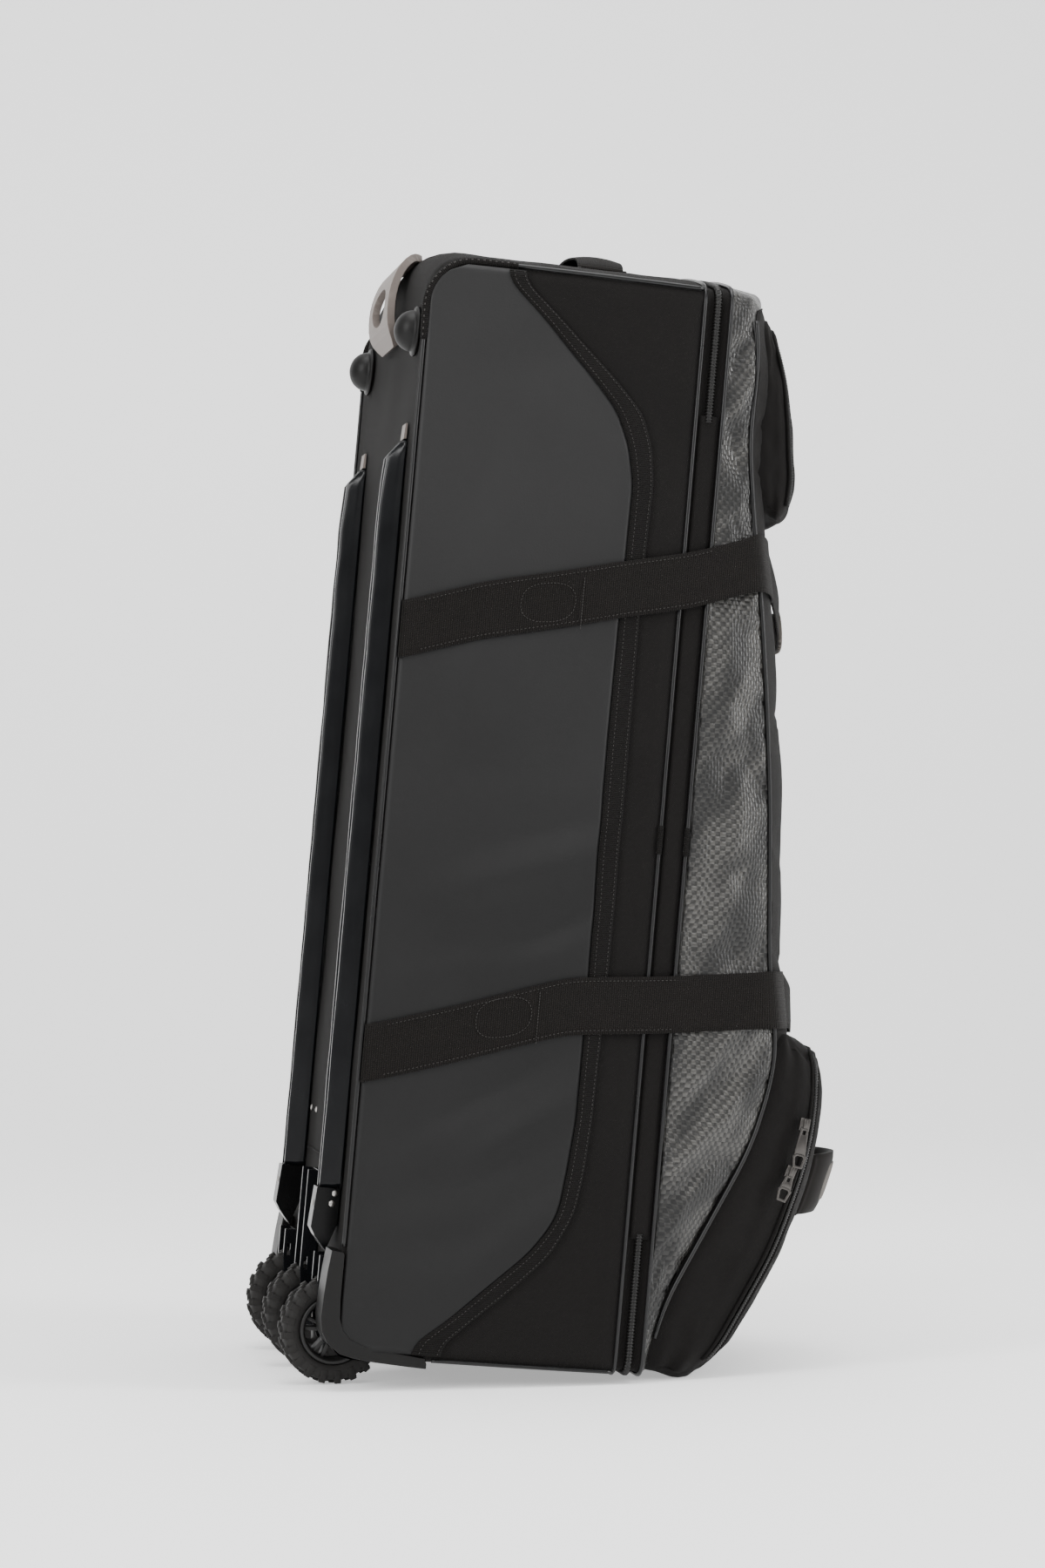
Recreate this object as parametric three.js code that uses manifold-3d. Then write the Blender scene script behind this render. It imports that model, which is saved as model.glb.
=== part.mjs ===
// Wheeled cricket kit bag, standing on its three wheels and on the bottom of its front pocket.
// Millimetres, +Z up, +X to the front (the pockets), Y across the bag.
// Inside the leaning group, X = 0 is the back panel and Z = 0 is the underside of the base.
import * as THREE from 'three';
import { mergeVertices } from 'three/addons/utils/BufferGeometryUtils.js';
import Module from 'manifold-3d';

const wasm = await Module();
wasm.setup();

// Driving sizes of the bag
const BAG_HEIGHT = 957;
const BAG_WIDTH = 370;
const TUB_DEPTH = 246;
const GUSSET_WIDTH = 25;
const LID_DEPTH = 100;
const FABRIC_WALL = 2.5;
const TOP_CROWN = 26;
const FRONT_CROWN = 38;
const SIDE_BULGE = 6;
const GUSSET_RECESS = 2.5;
const GUSSET_WALL = 2;
const CORNER_RADIUS = 14;
const BACK_TOP_RADIUS = 33;
const BACK_SIDE_RADIUS = 6;
const BACK_BASE_RADIUS = 12;
const LID_DRAFT = 6;
const LID_EDGE_RADIUS = 10;

// Clearances between neighbouring pieces
const GAP = 0.3;
const SEAT = 0.8;
const HANDLE_SEAT = 0.45;

// Trim, webbing and zips
const PIPING_RADIUS = 1.9;
const LID_PIPING_SEAT = 0.72;
const TARP_THICKNESS = 1;
const BINDING_THICKNESS = 1.8;
const TARP_BACK_MARGIN = 7;
const WEBBING_WIDTH = 50;
const WEBBING_THICKNESS = 2.2;
const STRAP_FRONT_END = 80;
const ZIP_WIDTH = 6;
const ZIP_THICKNESS = 1.4;
const SLIDER = { width: 9, thickness: 4.5, height: 11 };
const PULL_WIDTH = 5;

// Pockets on the lid
const UPPER_POCKET_HEIGHT = BAG_HEIGHT * 0.189;
const UPPER_POCKET_FOOT = BAG_HEIGHT * 0.8;
const UPPER_POCKET_WIDTH = 260;
const UPPER_POCKET_RISE = 30;
const LOWER_POCKET_HEIGHT = BAG_HEIGHT * 0.32;
const LOWER_POCKET_WIDTH = BAG_WIDTH - 20;
const LOWER_POCKET_RISE = 66;
const LOWER_POCKET_DROP = 6;
const POCKET_WALL = 2;
const REST_DISTANCE = 318;
const REST_DEPTH = 2.6;

// Wheels, forks and axles
const WHEEL_RADIUS = 47;
const RIM_RADIUS = 30;
const TYRE_WIDTH = 30;
const WHEEL_SPACING = 122;
const AXLE_FORWARD = 5;
const AXLE_HEIGHT = 17;
const AXLE_RADIUS = 5;
const FORK_GAP = 1.5;
const FORK_PLATE = 4;
const FORK_DEPTH = 14;
const FORK_WEB = 5;
const FORK_TOPS = [82, 147, 82];
const WELL_CLEARANCE = 6;
const WELL_WIDTH = 2 * WHEEL_SPACING + TYRE_WIDTH + 26;
const HUB_RADIUS = 11;
const SPOKES = 5;
const WHEEL_SIDES = 24;
const RIM_SIDES = 16;

// Back of the bag: skid rails, end plates, feet, haul handle and corner guards
const RAIL_FOOT = 141;
const RAIL_TOP = BAG_HEIGHT - 157;
const RAIL_WIDTH = 28;
const RAIL_HEIGHT = 18;
const RAIL_SPACING = 252;
const RAIL_TIP = 14;
const END_PLATE_HEIGHT = 55;
const FOOT_HEIGHT = BAG_HEIGHT - 62;
const FOOT_SPACING = 280;
const FOOT_RADIUS = 18;
const FOOT_RISE = 20;
const FOOT_FLANGE = 3;
const HAUL_WIDTH = 118;
const HAUL_THICKNESS = 7;
const HAUL_FOOT_DROP = 60;
const HAUL_CORNER = 0.42;
const HAUL_HOLE = { halfWidth: 38, halfHeight: 17, drop: 23 };
const GUARD_HEIGHT = 91;
const GUARD_LENGTH = 80;
const GUARD_WIDTH = 35;
const GUARD_RISE = 20;
const GUARD_DROP = 6;

// Cloth handles
const TOP_HANDLE_START = 153;
const TOP_HANDLE_WIDTH = 42;
const TOP_HANDLE_SPAN = 160;
const TOP_HANDLE_RISE = 17;
const GRAB_FOOT = 140;
const GRAB_WIDTH = 58;
const GRAB_SPAN = 150;
const GRAB_RISE = 32;
const GRAB_THICKNESS = 7;
const CARRY_RISE = 16;
const UPPER_CARRY_SAG = 46;
const LOWER_CARRY_SAG = 14;

// Depth of the lid's side at each height: the outline of the lid seen from the side
const LID_OUTLINE = [
  { height: 0.0, depth: 0.02 },
  { height: 0.062, depth: 0.17 },
  { height: 0.161, depth: 0.61 },
  { height: 0.215, depth: 0.85 },
  { height: 0.279, depth: 0.99 },
  { height: 0.312, depth: 1.0 },
  { height: 0.38, depth: 0.88 },
  { height: 0.534, depth: 0.76 },
  { height: 0.629, depth: 0.65 },
  { height: 0.722, depth: 0.52 },
  { height: 0.77, depth: 0.43 },
  { height: 0.862, depth: 0.3 },
  { height: 0.949, depth: 0.32 },
  { height: 1.0, depth: 0.22 },
];

// How far each pocket stands off the lid, from its foot to its top
const UPPER_POCKET_PROFILE = [
  { height: 0.0, rise: 0.45 },
  { height: 0.06, rise: 0.72 },
  { height: 0.22, rise: 0.97 },
  { height: 0.45, rise: 0.85 },
  { height: 0.65, rise: 0.58 },
  { height: 0.87, rise: 0.2 },
  { height: 1.0, rise: 0.1 },
];
const LOWER_POCKET_PROFILE = [
  { height: 0.0, rise: 0.5 },
  { height: 0.08, rise: 0.86 },
  { height: 0.21, rise: 0.98 },
  { height: 0.37, rise: 1.0 },
  { height: 0.5, rise: 0.89 },
  { height: 0.69, rise: 0.7 },
  { height: 0.8, rise: 0.6 },
  { height: 0.91, rise: 0.48 },
  { height: 1.0, rise: 0.28 },
];

// Front edge of the coated side panel, and of the binding sewn along it
const PANEL_EDGE = [
  { height: 0.016, inner: 0.272, outer: 0.37 },
  { height: 0.04, inner: 0.39, outer: 0.467 },
  { height: 0.071, inner: 0.516, outer: 0.602 },
  { height: 0.104, inner: 0.654, outer: 0.728 },
  { height: 0.13, inner: 0.728, outer: 0.78 },
  { height: 0.147, inner: 0.756, outer: 0.809 },
  { height: 0.183, inner: 0.772, outer: 0.829 },
  { height: 0.233, inner: 0.789, outer: 0.841 },
  { height: 0.373, inner: 0.789, outer: 0.854 },
  { height: 0.578, inner: 0.785, outer: 0.858 },
  { height: 0.744, inner: 0.793, outer: 0.858 },
  { height: 0.81, inner: 0.797, outer: 0.866 },
  { height: 0.845, inner: 0.768, outer: 0.85 },
  { height: 0.876, inner: 0.715, outer: 0.805 },
  { height: 0.904, inner: 0.614, outer: 0.695 },
  { height: 0.952, inner: 0.427, outer: 0.488 },
  { height: 0.984, inner: 0.285, outer: 0.341 },
];

// Lower edge of each webbing strap along the side, from the back panel to the front of the lid
const UPPER_STRAP_LINE = [
  { along: 0.0, height: 0.63 },
  { along: 0.22, height: 0.655 },
  { along: 0.46, height: 0.674 },
  { along: 0.62, height: 0.688 },
  { along: 0.8, height: 0.702 },
  { along: 1.0, height: 0.726 },
];
const LOWER_STRAP_LINE = [
  { along: 0.0, height: 0.246 },
  { along: 0.17, height: 0.263 },
  { along: 0.33, height: 0.287 },
  { along: 0.48, height: 0.304 },
  { along: 0.65, height: 0.312 },
  { along: 1.0, height: 0.326 },
];

// Side view of a skid rail's end plate: share of the rail's rise, share of the plate's height
const END_PLATE_OUTLINE = [
  { out: 0.0, up: 1.0 },
  { out: 1.15, up: 1.0 },
  { out: 1.3, up: 0.36 },
  { out: 1.05, up: 0.22 },
  { out: 0.5, up: 0.0 },
  { out: 0.0, up: 0.45 },
];

// Nose of a fork cheek round the axle, from the axle
const FORK_NOSE = [
  { forward: 0.86, up: 0.93 },
  { forward: 1, up: 0 },
  { forward: 0.64, up: -0.79 },
  { forward: 0, up: -1 },
  { forward: -0.71, up: -0.71 },
  { forward: -1.07, up: 0.14 },
];

// Outer face of a corner guard: up the back, then along the sole
const GUARD_BACK = [
  { out: 0.9, up: 1 },
  { out: 1.05, up: 0.7 },
  { out: 1, up: 0.4 },
  { out: 0.75, up: 0.2 },
  { out: 0.3, up: 0.04 },
];
const GUARD_SOLE = [
  { along: 0.1, down: 0.8 },
  { along: 0.5, down: 1 },
  { along: 0.8, down: 1 },
  { along: 0.8, down: 1.5 },
  { along: 1, down: 1.3 },
];

// One half of a zip pull's outline
const PULL_OUTLINE = [
  { side: -0.5, up: 0.5, rise: 0 },
  { side: -1, up: -0.5, rise: 6 },
  { side: -0.7, up: -0.5, rise: 0 },
];

// Side view of the moulded haul handle, from the round top edge of the back down to its foot
const HAUL_PATH = [
  { out: -14.5, up: 1.0 },
  { out: -4, up: 0.97 },
  { out: 5.5, up: 0.845 },
  { out: 12, up: 0.62 },
  { out: 13.5, up: 0.4 },
  { out: 11, up: 0.175 },
  { out: 2, up: 0.0 },
];

const HALF_WIDTH = BAG_WIDTH / 2;
const RIM_X = TUB_DEPTH + GUSSET_WIDTH;
const WELL_RADIUS = WHEEL_RADIUS + WELL_CLEARANCE;
const SIDE_STEPS = 5;
const PIPING_TOP = 2 * PIPING_RADIUS + 2 * GAP;

// Straight-line value of a table at one place
function lookUp(table, key, at, value) {
  const last = table.length - 1;
  if (at <= table[0][key]) return table[0][value];
  if (at >= table[last][key]) return table[last][value];
  const i = table.findIndex((row) => row[key] > at) - 1;
  const t = (at - table[i][key]) / (table[i + 1][key] - table[i][key]);
  return THREE.MathUtils.lerp(table[i][value], table[i + 1][value], t);
}

// A closed body from triangles given as triples of points
function bodyFrom(triangles) {
  const geometry = new THREE.BufferGeometry();
  const flat = triangles.flatMap((triangle) => triangle.flatMap((p) => [p.x, p.y, p.z]));
  geometry.setAttribute('position', new THREE.Float32BufferAttribute(flat, 3));
  return closedBody(geometry);
}

// The same geometry with shared corners, no empty triangles and its faces pointing out
function closedBody(geometry) {
  const bare = geometry.clone();
  bare.deleteAttribute('normal');
  bare.deleteAttribute('uv');
  const merged = mergeVertices(bare, 1e-4);
  const index = merged.getIndex().array;
  const kept = [];
  for (let i = 0; i < index.length; i += 3) {
    const [a, b, c] = [index[i], index[i + 1], index[i + 2]];
    if (a !== b && b !== c && c !== a) kept.push(a, b, c);
  }
  merged.setIndex(kept);
  if (signedVolume(merged) < 0) turnInsideOut(merged);
  return merged;
}

function signedVolume(geometry) {
  const position = geometry.getAttribute('position');
  const index = geometry.getIndex().array;
  const corners = [new THREE.Vector3(), new THREE.Vector3(), new THREE.Vector3()];
  let volume = 0;
  for (let i = 0; i < index.length; i += 3) {
    corners.forEach((corner, k) => corner.fromBufferAttribute(position, index[i + k]));
    volume += corners[0].dot(corners[1].clone().cross(corners[2])) / 6;
  }
  return volume;
}

function turnInsideOut(geometry) {
  const index = Array.from(geometry.getIndex().array);
  for (let i = 0; i < index.length; i += 3) {
    [index[i], index[i + 1]] = [index[i + 1], index[i]];
  }
  geometry.setIndex(index);
}

function centreOf(points) {
  const sum = points.reduce((total, p) => total.add(p), new THREE.Vector3());
  return sum.divideScalar(points.length);
}

// Skin over a row of rings with equal counts. Ends are capped, closed on a seam, or joined as a loop.
function loft(rings, { loop = false, seamLast = false } = {}) {
  const triangles = [];
  const strips = loop ? rings.length : rings.length - 1;
  for (let i = 0; i < strips; i += 1) {
    const a = rings[i];
    const b = rings[(i + 1) % rings.length];
    a.forEach((_, j) => {
      const k = (j + 1) % a.length;
      triangles.push([a[j], a[k], b[k]], [a[j], b[k], b[j]]);
    });
  }
  const cap = (ring, flip) => {
    const middle = centreOf(ring);
    ring.forEach((p, j) => {
      const q = ring[(j + 1) % ring.length];
      triangles.push(flip ? [middle, q, p] : [middle, p, q]);
    });
  };
  if (!loop) cap(rings[0], true);
  if (!loop && !seamLast) cap(rings[rings.length - 1], false);
  return bodyFrom(triangles);
}

// A sheet of cloth or webbing between two grids of points: its inner and its outer face
function slab(inner, outer) {
  const rows = inner.length;
  const columns = inner[0].length;
  const triangles = [];
  const quad = (a, b, c, d) => triangles.push([a, b, c], [a, c, d]);
  for (let i = 0; i < rows - 1; i += 1) {
    for (let j = 0; j < columns - 1; j += 1) {
      quad(outer[i][j], outer[i + 1][j], outer[i + 1][j + 1], outer[i][j + 1]);
      quad(inner[i][j], inner[i][j + 1], inner[i + 1][j + 1], inner[i + 1][j]);
    }
    quad(inner[i][0], inner[i + 1][0], outer[i + 1][0], outer[i][0]);
    const e = columns - 1;
    quad(inner[i + 1][e], inner[i][e], outer[i][e], outer[i + 1][e]);
  }
  for (let j = 0; j < columns - 1; j += 1) {
    quad(inner[0][j + 1], inner[0][j], outer[0][j], outer[0][j + 1]);
    const e = rows - 1;
    quad(inner[e][j], inner[e][j + 1], outer[e][j + 1], outer[e][j]);
  }
  return bodyFrom(triangles);
}

// A section swept along points. `across` is a direction that the section keeps at right angles.
function sweep(points, section, across, loop = false) {
  const count = points.length;
  const rings = points.map((point, i) => {
    const before = loop ? points[(i - 1 + count) % count] : points[Math.max(i - 1, 0)];
    const after = loop ? points[(i + 1) % count] : points[Math.min(i + 1, count - 1)];
    const along = after.clone().sub(before).normalize();
    const side = new THREE.Vector3().crossVectors(across, along).normalize();
    const up = new THREE.Vector3().crossVectors(along, side);
    const shape = typeof section === 'function' ? section(i / (count - 1)) : section;
    return shape.map(([a, b]) => point.clone().addScaledVector(side, a).addScaledVector(up, b));
  });
  return loft(rings, { loop });
}

function roundSection(radius, sides) {
  return Array.from({ length: sides }, (_, i) => {
    const angle = ((i + 0.5) / sides) * 2 * Math.PI;
    return [radius * Math.cos(angle), radius * Math.sin(angle)];
  });
}

function flatSection(width, height) {
  const [w, h] = [width / 2, height / 2];
  return [[-h, -w], [h, -w], [h, w], [-h, w]];
}

function toManifold(geometry) {
  const merged = closedBody(geometry);
  const vertProperties = new Float32Array(merged.getAttribute('position').array);
  const triVerts = new Uint32Array(merged.getIndex().array);
  return new wasm.Manifold(new wasm.Mesh({ numProp: 3, vertProperties, triVerts }));
}

function toGeometry(manifold) {
  const mesh = manifold.getMesh();
  const geometry = new THREE.BufferGeometry();
  geometry.setAttribute('position', new THREE.BufferAttribute(new Float32Array(mesh.vertProperties), 3));
  geometry.setIndex(new THREE.BufferAttribute(new Uint32Array(mesh.triVerts), 1));
  return geometry;
}

function cut(geometry, ...tools) {
  const left = tools.reduce((body, tool) => body.subtract(toManifold(tool)), toManifold(geometry));
  return toGeometry(left);
}

function join(first, ...others) {
  const whole = others.reduce((body, other) => body.add(toManifold(other)), toManifold(first));
  return toGeometry(whole);
}

// A closed outline in the X-Z plane, pushed out along Y from one place to another
function plate(outline, fromY, toY) {
  const shape = new THREE.Shape(outline.map(([x, z]) => new THREE.Vector2(x, z)));
  const geometry = new THREE.ExtrudeGeometry(shape, { depth: toY - fromY, bevelEnabled: false });
  geometry.rotateX(Math.PI / 2);
  geometry.translate(0, toY, 0);
  return geometry;
}

function cylinderAlongY(radius, length, x, y, z, sides) {
  const geometry = new THREE.CylinderGeometry(radius, radius, length, sides);
  geometry.translate(x, y, z);
  return geometry;
}

// Half width of the bag's side at a distance from the back panel, in straight steps
function sideAt(x) {
  const step = TUB_DEPTH / SIDE_STEPS;
  const bulge = (i) => SIDE_BULGE * Math.sin((Math.PI * Math.min(i * step, RIM_X)) / RIM_X);
  const t = THREE.MathUtils.clamp(x / step, 0, SIDE_STEPS);
  const i = Math.min(Math.floor(t), SIDE_STEPS - 1);
  const onTub = THREE.MathUtils.lerp(bulge(i), bulge(i + 1), t - i);
  const pastTub = Math.max(0, (x - TUB_DEPTH) / GUSSET_WIDTH);
  return HALF_WIDTH + onTub * Math.max(0, 1 - pastTub);
}

function topCrown(y) {
  return TOP_CROWN * Math.max(0, 1 - (y / HALF_WIDTH) ** 2);
}

function frontCrown(y) {
  return FRONT_CROWN * Math.max(0, 1 - (y / HALF_WIDTH) ** 2);
}

// One outline in the Y-Z plane: y, z, and the way it faces. It starts at the middle of its foot.
function outline({ halfWidth, low, high, radius, rows, crown }) {
  const half = [];
  const push = (y, z, ny, nz) => half.push({ y, z, ny, nz });
  const inner = halfWidth - radius;
  push(0, low, 0, -1);
  push(inner * 0.5, low, 0, -1);
  const turn = 2;
  for (let i = 0; i <= turn; i += 1) {
    const a = (i / turn) * (Math.PI / 2);
    push(inner + radius * Math.sin(a), low + radius * (1 - Math.cos(a)), Math.sin(a), -Math.cos(a));
  }
  const [from, to] = [low + radius, high - radius];
  rows.forEach((share) => {
    const z = low + (high - low) * share;
    if (z > from + 1 && z < to - 1) push(halfWidth, z, 1, 0);
  });
  for (let i = 0; i <= turn; i += 1) {
    const a = (i / turn) * (Math.PI / 2);
    push(inner + radius * Math.cos(a), to + radius * Math.sin(a), Math.cos(a), Math.sin(a));
  }
  [0.7, 0.36].forEach((share) => push(inner * share, high, 0, 1));
  push(0, high, 0, 1);
  half.forEach((p) => {
    p.z += p.nz > 0 ? crown(p.y) * p.nz : 0;
  });
  const other = half.slice(1, -1).reverse().map((p) => ({ ...p, y: -p.y, ny: -p.ny }));
  return [...half, ...other];
}

const BODY_ROWS = Array.from({ length: 5 }, (_, i) => (i + 1) / 6);

function bodyOutline(x, inset, grow = 0) {
  return outline({
    halfWidth: sideAt(x) - inset + grow,
    low: inset - grow,
    high: BAG_HEIGHT - inset + grow,
    radius: Math.max(CORNER_RADIUS - inset + grow, 3),
    rows: BODY_ROWS,
    crown: topCrown,
  });
}

// One ring of the rounding between the back panel and the tub's walls; share 1 is on the walls
function backRing(share, inset) {
  const a = share * (Math.PI / 2);
  return bodyOutline(0, inset).map((p) => {
    const ends = p.nz > 0 ? BACK_TOP_RADIUS * p.nz : -BACK_BASE_RADIUS * p.nz;
    const radius = Math.max(Math.abs(p.ny) * BACK_SIDE_RADIUS + ends - inset, 1.5);
    const back = radius * (1 - Math.sin(a));
    return new THREE.Vector3(inset + radius * (1 - Math.cos(a)), p.y - p.ny * back, p.z - p.nz * back);
  });
}

// The tub: back panel, two sides, top and base, rounded to the back
function tubSolid(inset, mouth) {
  const rings = [0, 0.33, 0.67, 1].map((share) => backRing(share, inset));
  for (let i = 1; i <= SIDE_STEPS; i += 1) {
    const x = i === SIDE_STEPS ? mouth : (i * TUB_DEPTH) / SIDE_STEPS;
    rings.push(bodyOutline(Math.min(x, TUB_DEPTH), inset).map((p) => new THREE.Vector3(x, p.y, p.z)));
  }
  return loft(rings);
}

function wheelWell(radius, width) {
  return cylinderAlongY(radius, width, AXLE_FORWARD, 0, AXLE_HEIGHT, 24);
}

function tub() {
  const outer = cut(tubSolid(0, TUB_DEPTH), wheelWell(WELL_RADIUS, WELL_WIDTH));
  const well = wheelWell(WELL_RADIUS + FABRIC_WALL, WELL_WIDTH + 2 * FABRIC_WALL);
  const inner = cut(tubSolid(FABRIC_WALL, TUB_DEPTH + FABRIC_WALL), well);
  return cut(outer, inner);
}

function zipGusset() {
  const band = (inset, from, to) => loft([from, to].map((x) => (
    bodyOutline(TUB_DEPTH, inset).map((p) => new THREE.Vector3(x, p.y, p.z))
  )));
  const outer = band(GUSSET_RECESS, TUB_DEPTH + GAP, RIM_X - GAP);
  return cut(outer, band(GUSSET_RECESS + GUSSET_WALL, TUB_DEPTH - 1, RIM_X + 1));
}

function lidEdgeX(z) {
  const share = (z / BAG_HEIGHT);
  return RIM_X + LID_DEPTH * lookUp(LID_OUTLINE, 'height', share, 'depth');
}

function lidFrontX(y, z) {
  return lidEdgeX(z) + frontCrown(y);
}

const LID_ROWS = LID_OUTLINE.map((row) => row.height);
const LID_COLUMNS = [0.7, 0.36, 0];

// The lid's outline at one step round its edge. A negative inset stands off its outside.
function lidRing(step, inset) {
  const base = outline({
    halfWidth: HALF_WIDTH - inset,
    low: inset,
    high: BAG_HEIGHT - inset,
    radius: Math.max(CORNER_RADIUS - inset, 3),
    rows: LID_ROWS,
    crown: topCrown,
  });
  return base.map((p) => lidRingPoint(p, step, inset));
}

function lidRingPoint(p, step, inset) {
  const depth = lidEdgeX(p.z) - RIM_X + frontCrown(p.y);
  const radius = Math.min(LID_EDGE_RADIUS, depth * 0.45);
  const front = RIM_X + depth - inset;
  const places = {
    rim: [RIM_X, 0],
    wall: [front - radius, 0.5],
    turn: [front - radius * 0.3, 0.8],
    edge: [front, 1],
  };
  const [x, share] = places[step];
  const back = share === 0 ? 0 : LID_DRAFT * share + { wall: 0, turn: radius * 0.3, edge: radius }[step];
  return new THREE.Vector3(x, p.y - p.ny * back, p.z - p.nz * back);
}

function lidSolid(inset, rimShift) {
  const rings = ['rim', 'wall', 'turn', 'edge'].map((step) => lidRing(step, inset));
  rings[0].forEach((p) => {
    p.x += rimShift;
  });
  const edge = rings[3];
  LID_COLUMNS.forEach((share) => {
    rings.push(edge.map((p) => {
      const y = p.y * share;
      return new THREE.Vector3(lidFrontX(y, p.z) - inset, y, p.z);
    }));
  });
  return loft(rings, { seamLast: true });
}

function lid() {
  return cut(lidSolid(0, 0), lidSolid(FABRIC_WALL, -1));
}

// The place and shape of one pocket on the lid's front
const UPPER_POCKET = {
  foot: UPPER_POCKET_FOOT,
  height: UPPER_POCKET_HEIGHT,
  halfWidth: UPPER_POCKET_WIDTH / 2,
  rise: UPPER_POCKET_RISE,
  profile: UPPER_POCKET_PROFILE,
  corner: UPPER_POCKET_HEIGHT * 0.133,
  taper: 8,
  edge: 12,
  drop: 0,
};
const LOWER_POCKET = {
  foot: 0,
  height: LOWER_POCKET_HEIGHT,
  halfWidth: LOWER_POCKET_WIDTH / 2,
  rise: LOWER_POCKET_RISE,
  profile: LOWER_POCKET_PROFILE,
  corner: LOWER_POCKET_HEIGHT * 0.098,
  taper: 12,
  edge: 16,
  drop: LOWER_POCKET_DROP,
};

function pocketX(pocket, y, z, share) {
  const up = (z - pocket.foot) / pocket.height;
  const rise = pocket.rise * lookUp(pocket.profile, 'height', up, 'rise');
  return lidFrontX(y, z) + rise * share;
}

// Steps of a pocket's wall: share of its rise, and how far it has moved in from its widest
const POCKET_STEPS = [
  { name: 'root', share: -0.1, inward: 0, low: 1 },
  { name: 'seam', share: 0.12, inward: 0, low: 0.8 },
  { name: 'wall', share: 0.72, inward: 0.6, low: 0 },
  { name: 'turn', share: 0.93, inward: 1.25, low: 0.25 },
  { name: 'face', share: 1, inward: 2.3, low: 1.2 },
];

function pocketRing(pocket, step, inset) {
  const inward = pocket.taper * step.inward + inset;
  const foot = pocket.foot - pocket.drop + (pocket.drop + 4) * step.low;
  const base = outline({
    halfWidth: pocket.halfWidth - inward,
    low: foot + inset,
    high: pocket.foot + pocket.height - inward,
    radius: Math.max(pocket.corner - inset, 4),
    rows: pocket.profile.map((row) => row.height),
    crown: () => 0,
  });
  const rise = step.share > 0 ? inset : 0;
  return base.map((p) => new THREE.Vector3(pocketX(pocket, p.y, p.z, step.share) - rise, p.y, p.z));
}

function pocketSolid(pocket, inset) {
  const rings = POCKET_STEPS.map((step) => pocketRing(pocket, step, inset));
  if (inset > 0) rings[0].forEach((p) => { p.x -= 2 * inset; });
  const face = rings[rings.length - 1];
  [0.5, 0].forEach((share) => {
    rings.push(face.map((p) => {
      const y = p.y * share;
      return new THREE.Vector3(pocketX(pocket, y, p.z, 1) - inset, y, p.z);
    }));
  });
  return loft(rings, { seamLast: true });
}

// How far the bag leans: the floor touches the wheels and the bottom of the lower pocket
const REST_SPAN = Math.hypot(REST_DISTANCE - AXLE_FORWARD, AXLE_HEIGHT + REST_DEPTH);
const LEAN = Math.asin(WHEEL_RADIUS / REST_SPAN)
  - Math.atan2(AXLE_HEIGHT + REST_DEPTH, REST_DISTANCE - AXLE_FORWARD);

// Everything below the floor, raised by a cloth's wall where the inside of a pocket is meant
function belowFloor(raised) {
  const reach = BAG_HEIGHT * 1.2;
  const depth = WHEEL_RADIUS * 4;
  const block = new THREE.BoxGeometry(reach, reach, depth);
  block.translate(0, 0, -depth / 2 - WHEEL_RADIUS + raised);
  block.rotateY(-LEAN);
  block.translate(AXLE_FORWARD, 0, AXLE_HEIGHT);
  return block;
}

function pocketShell(pocket) {
  const outer = cut(pocketSolid(pocket, 0), belowFloor(0));
  const inner = cut(pocketSolid(pocket, POCKET_WALL), belowFloor(POCKET_WALL));
  return cut(outer, inner, lidSolid(-SEAT, -1), boxBehind());
}

// What lies behind the lid's rim: a pocket never reaches there
function boxBehind() {
  const block = new THREE.BoxGeometry(RIM_X * 2, BAG_WIDTH * 2, BAG_HEIGHT * 1.4);
  block.translate(PIPING_RADIUS * 2, 0, BAG_HEIGHT / 2);
  return block;
}

// A point on the flat of the tub's side, standing off by a distance. `hand` is -1 or 1.
function sidePoint(x, z, off, hand) {
  return new THREE.Vector3(x, hand * (sideAt(x) + off), z);
}

function sidePatch(hand, rows, thickness) {
  const layer = (off) => rows.map(({ z, from, to, steps }) => (
    Array.from({ length: steps + 1 }, (_, i) => (
      sidePoint(THREE.MathUtils.lerp(from, to, i / steps), z, off, hand)
    ))
  ));
  return slab(layer(SEAT), layer(SEAT + thickness));
}

function coatedPanel(hand) {
  const rows = PANEL_EDGE.map((row) => ({
    z: row.height * BAG_HEIGHT,
    from: TARP_BACK_MARGIN,
    to: row.inner * TUB_DEPTH - GAP,
    steps: 3,
  }));
  return sidePatch(hand, rows, TARP_THICKNESS);
}

function panelBinding(hand) {
  const rows = PANEL_EDGE.map((row) => ({
    z: row.height * BAG_HEIGHT,
    from: row.inner * TUB_DEPTH,
    to: row.outer * TUB_DEPTH,
    steps: 1,
  }));
  return sidePatch(hand, rows, BINDING_THICKNESS);
}

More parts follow.
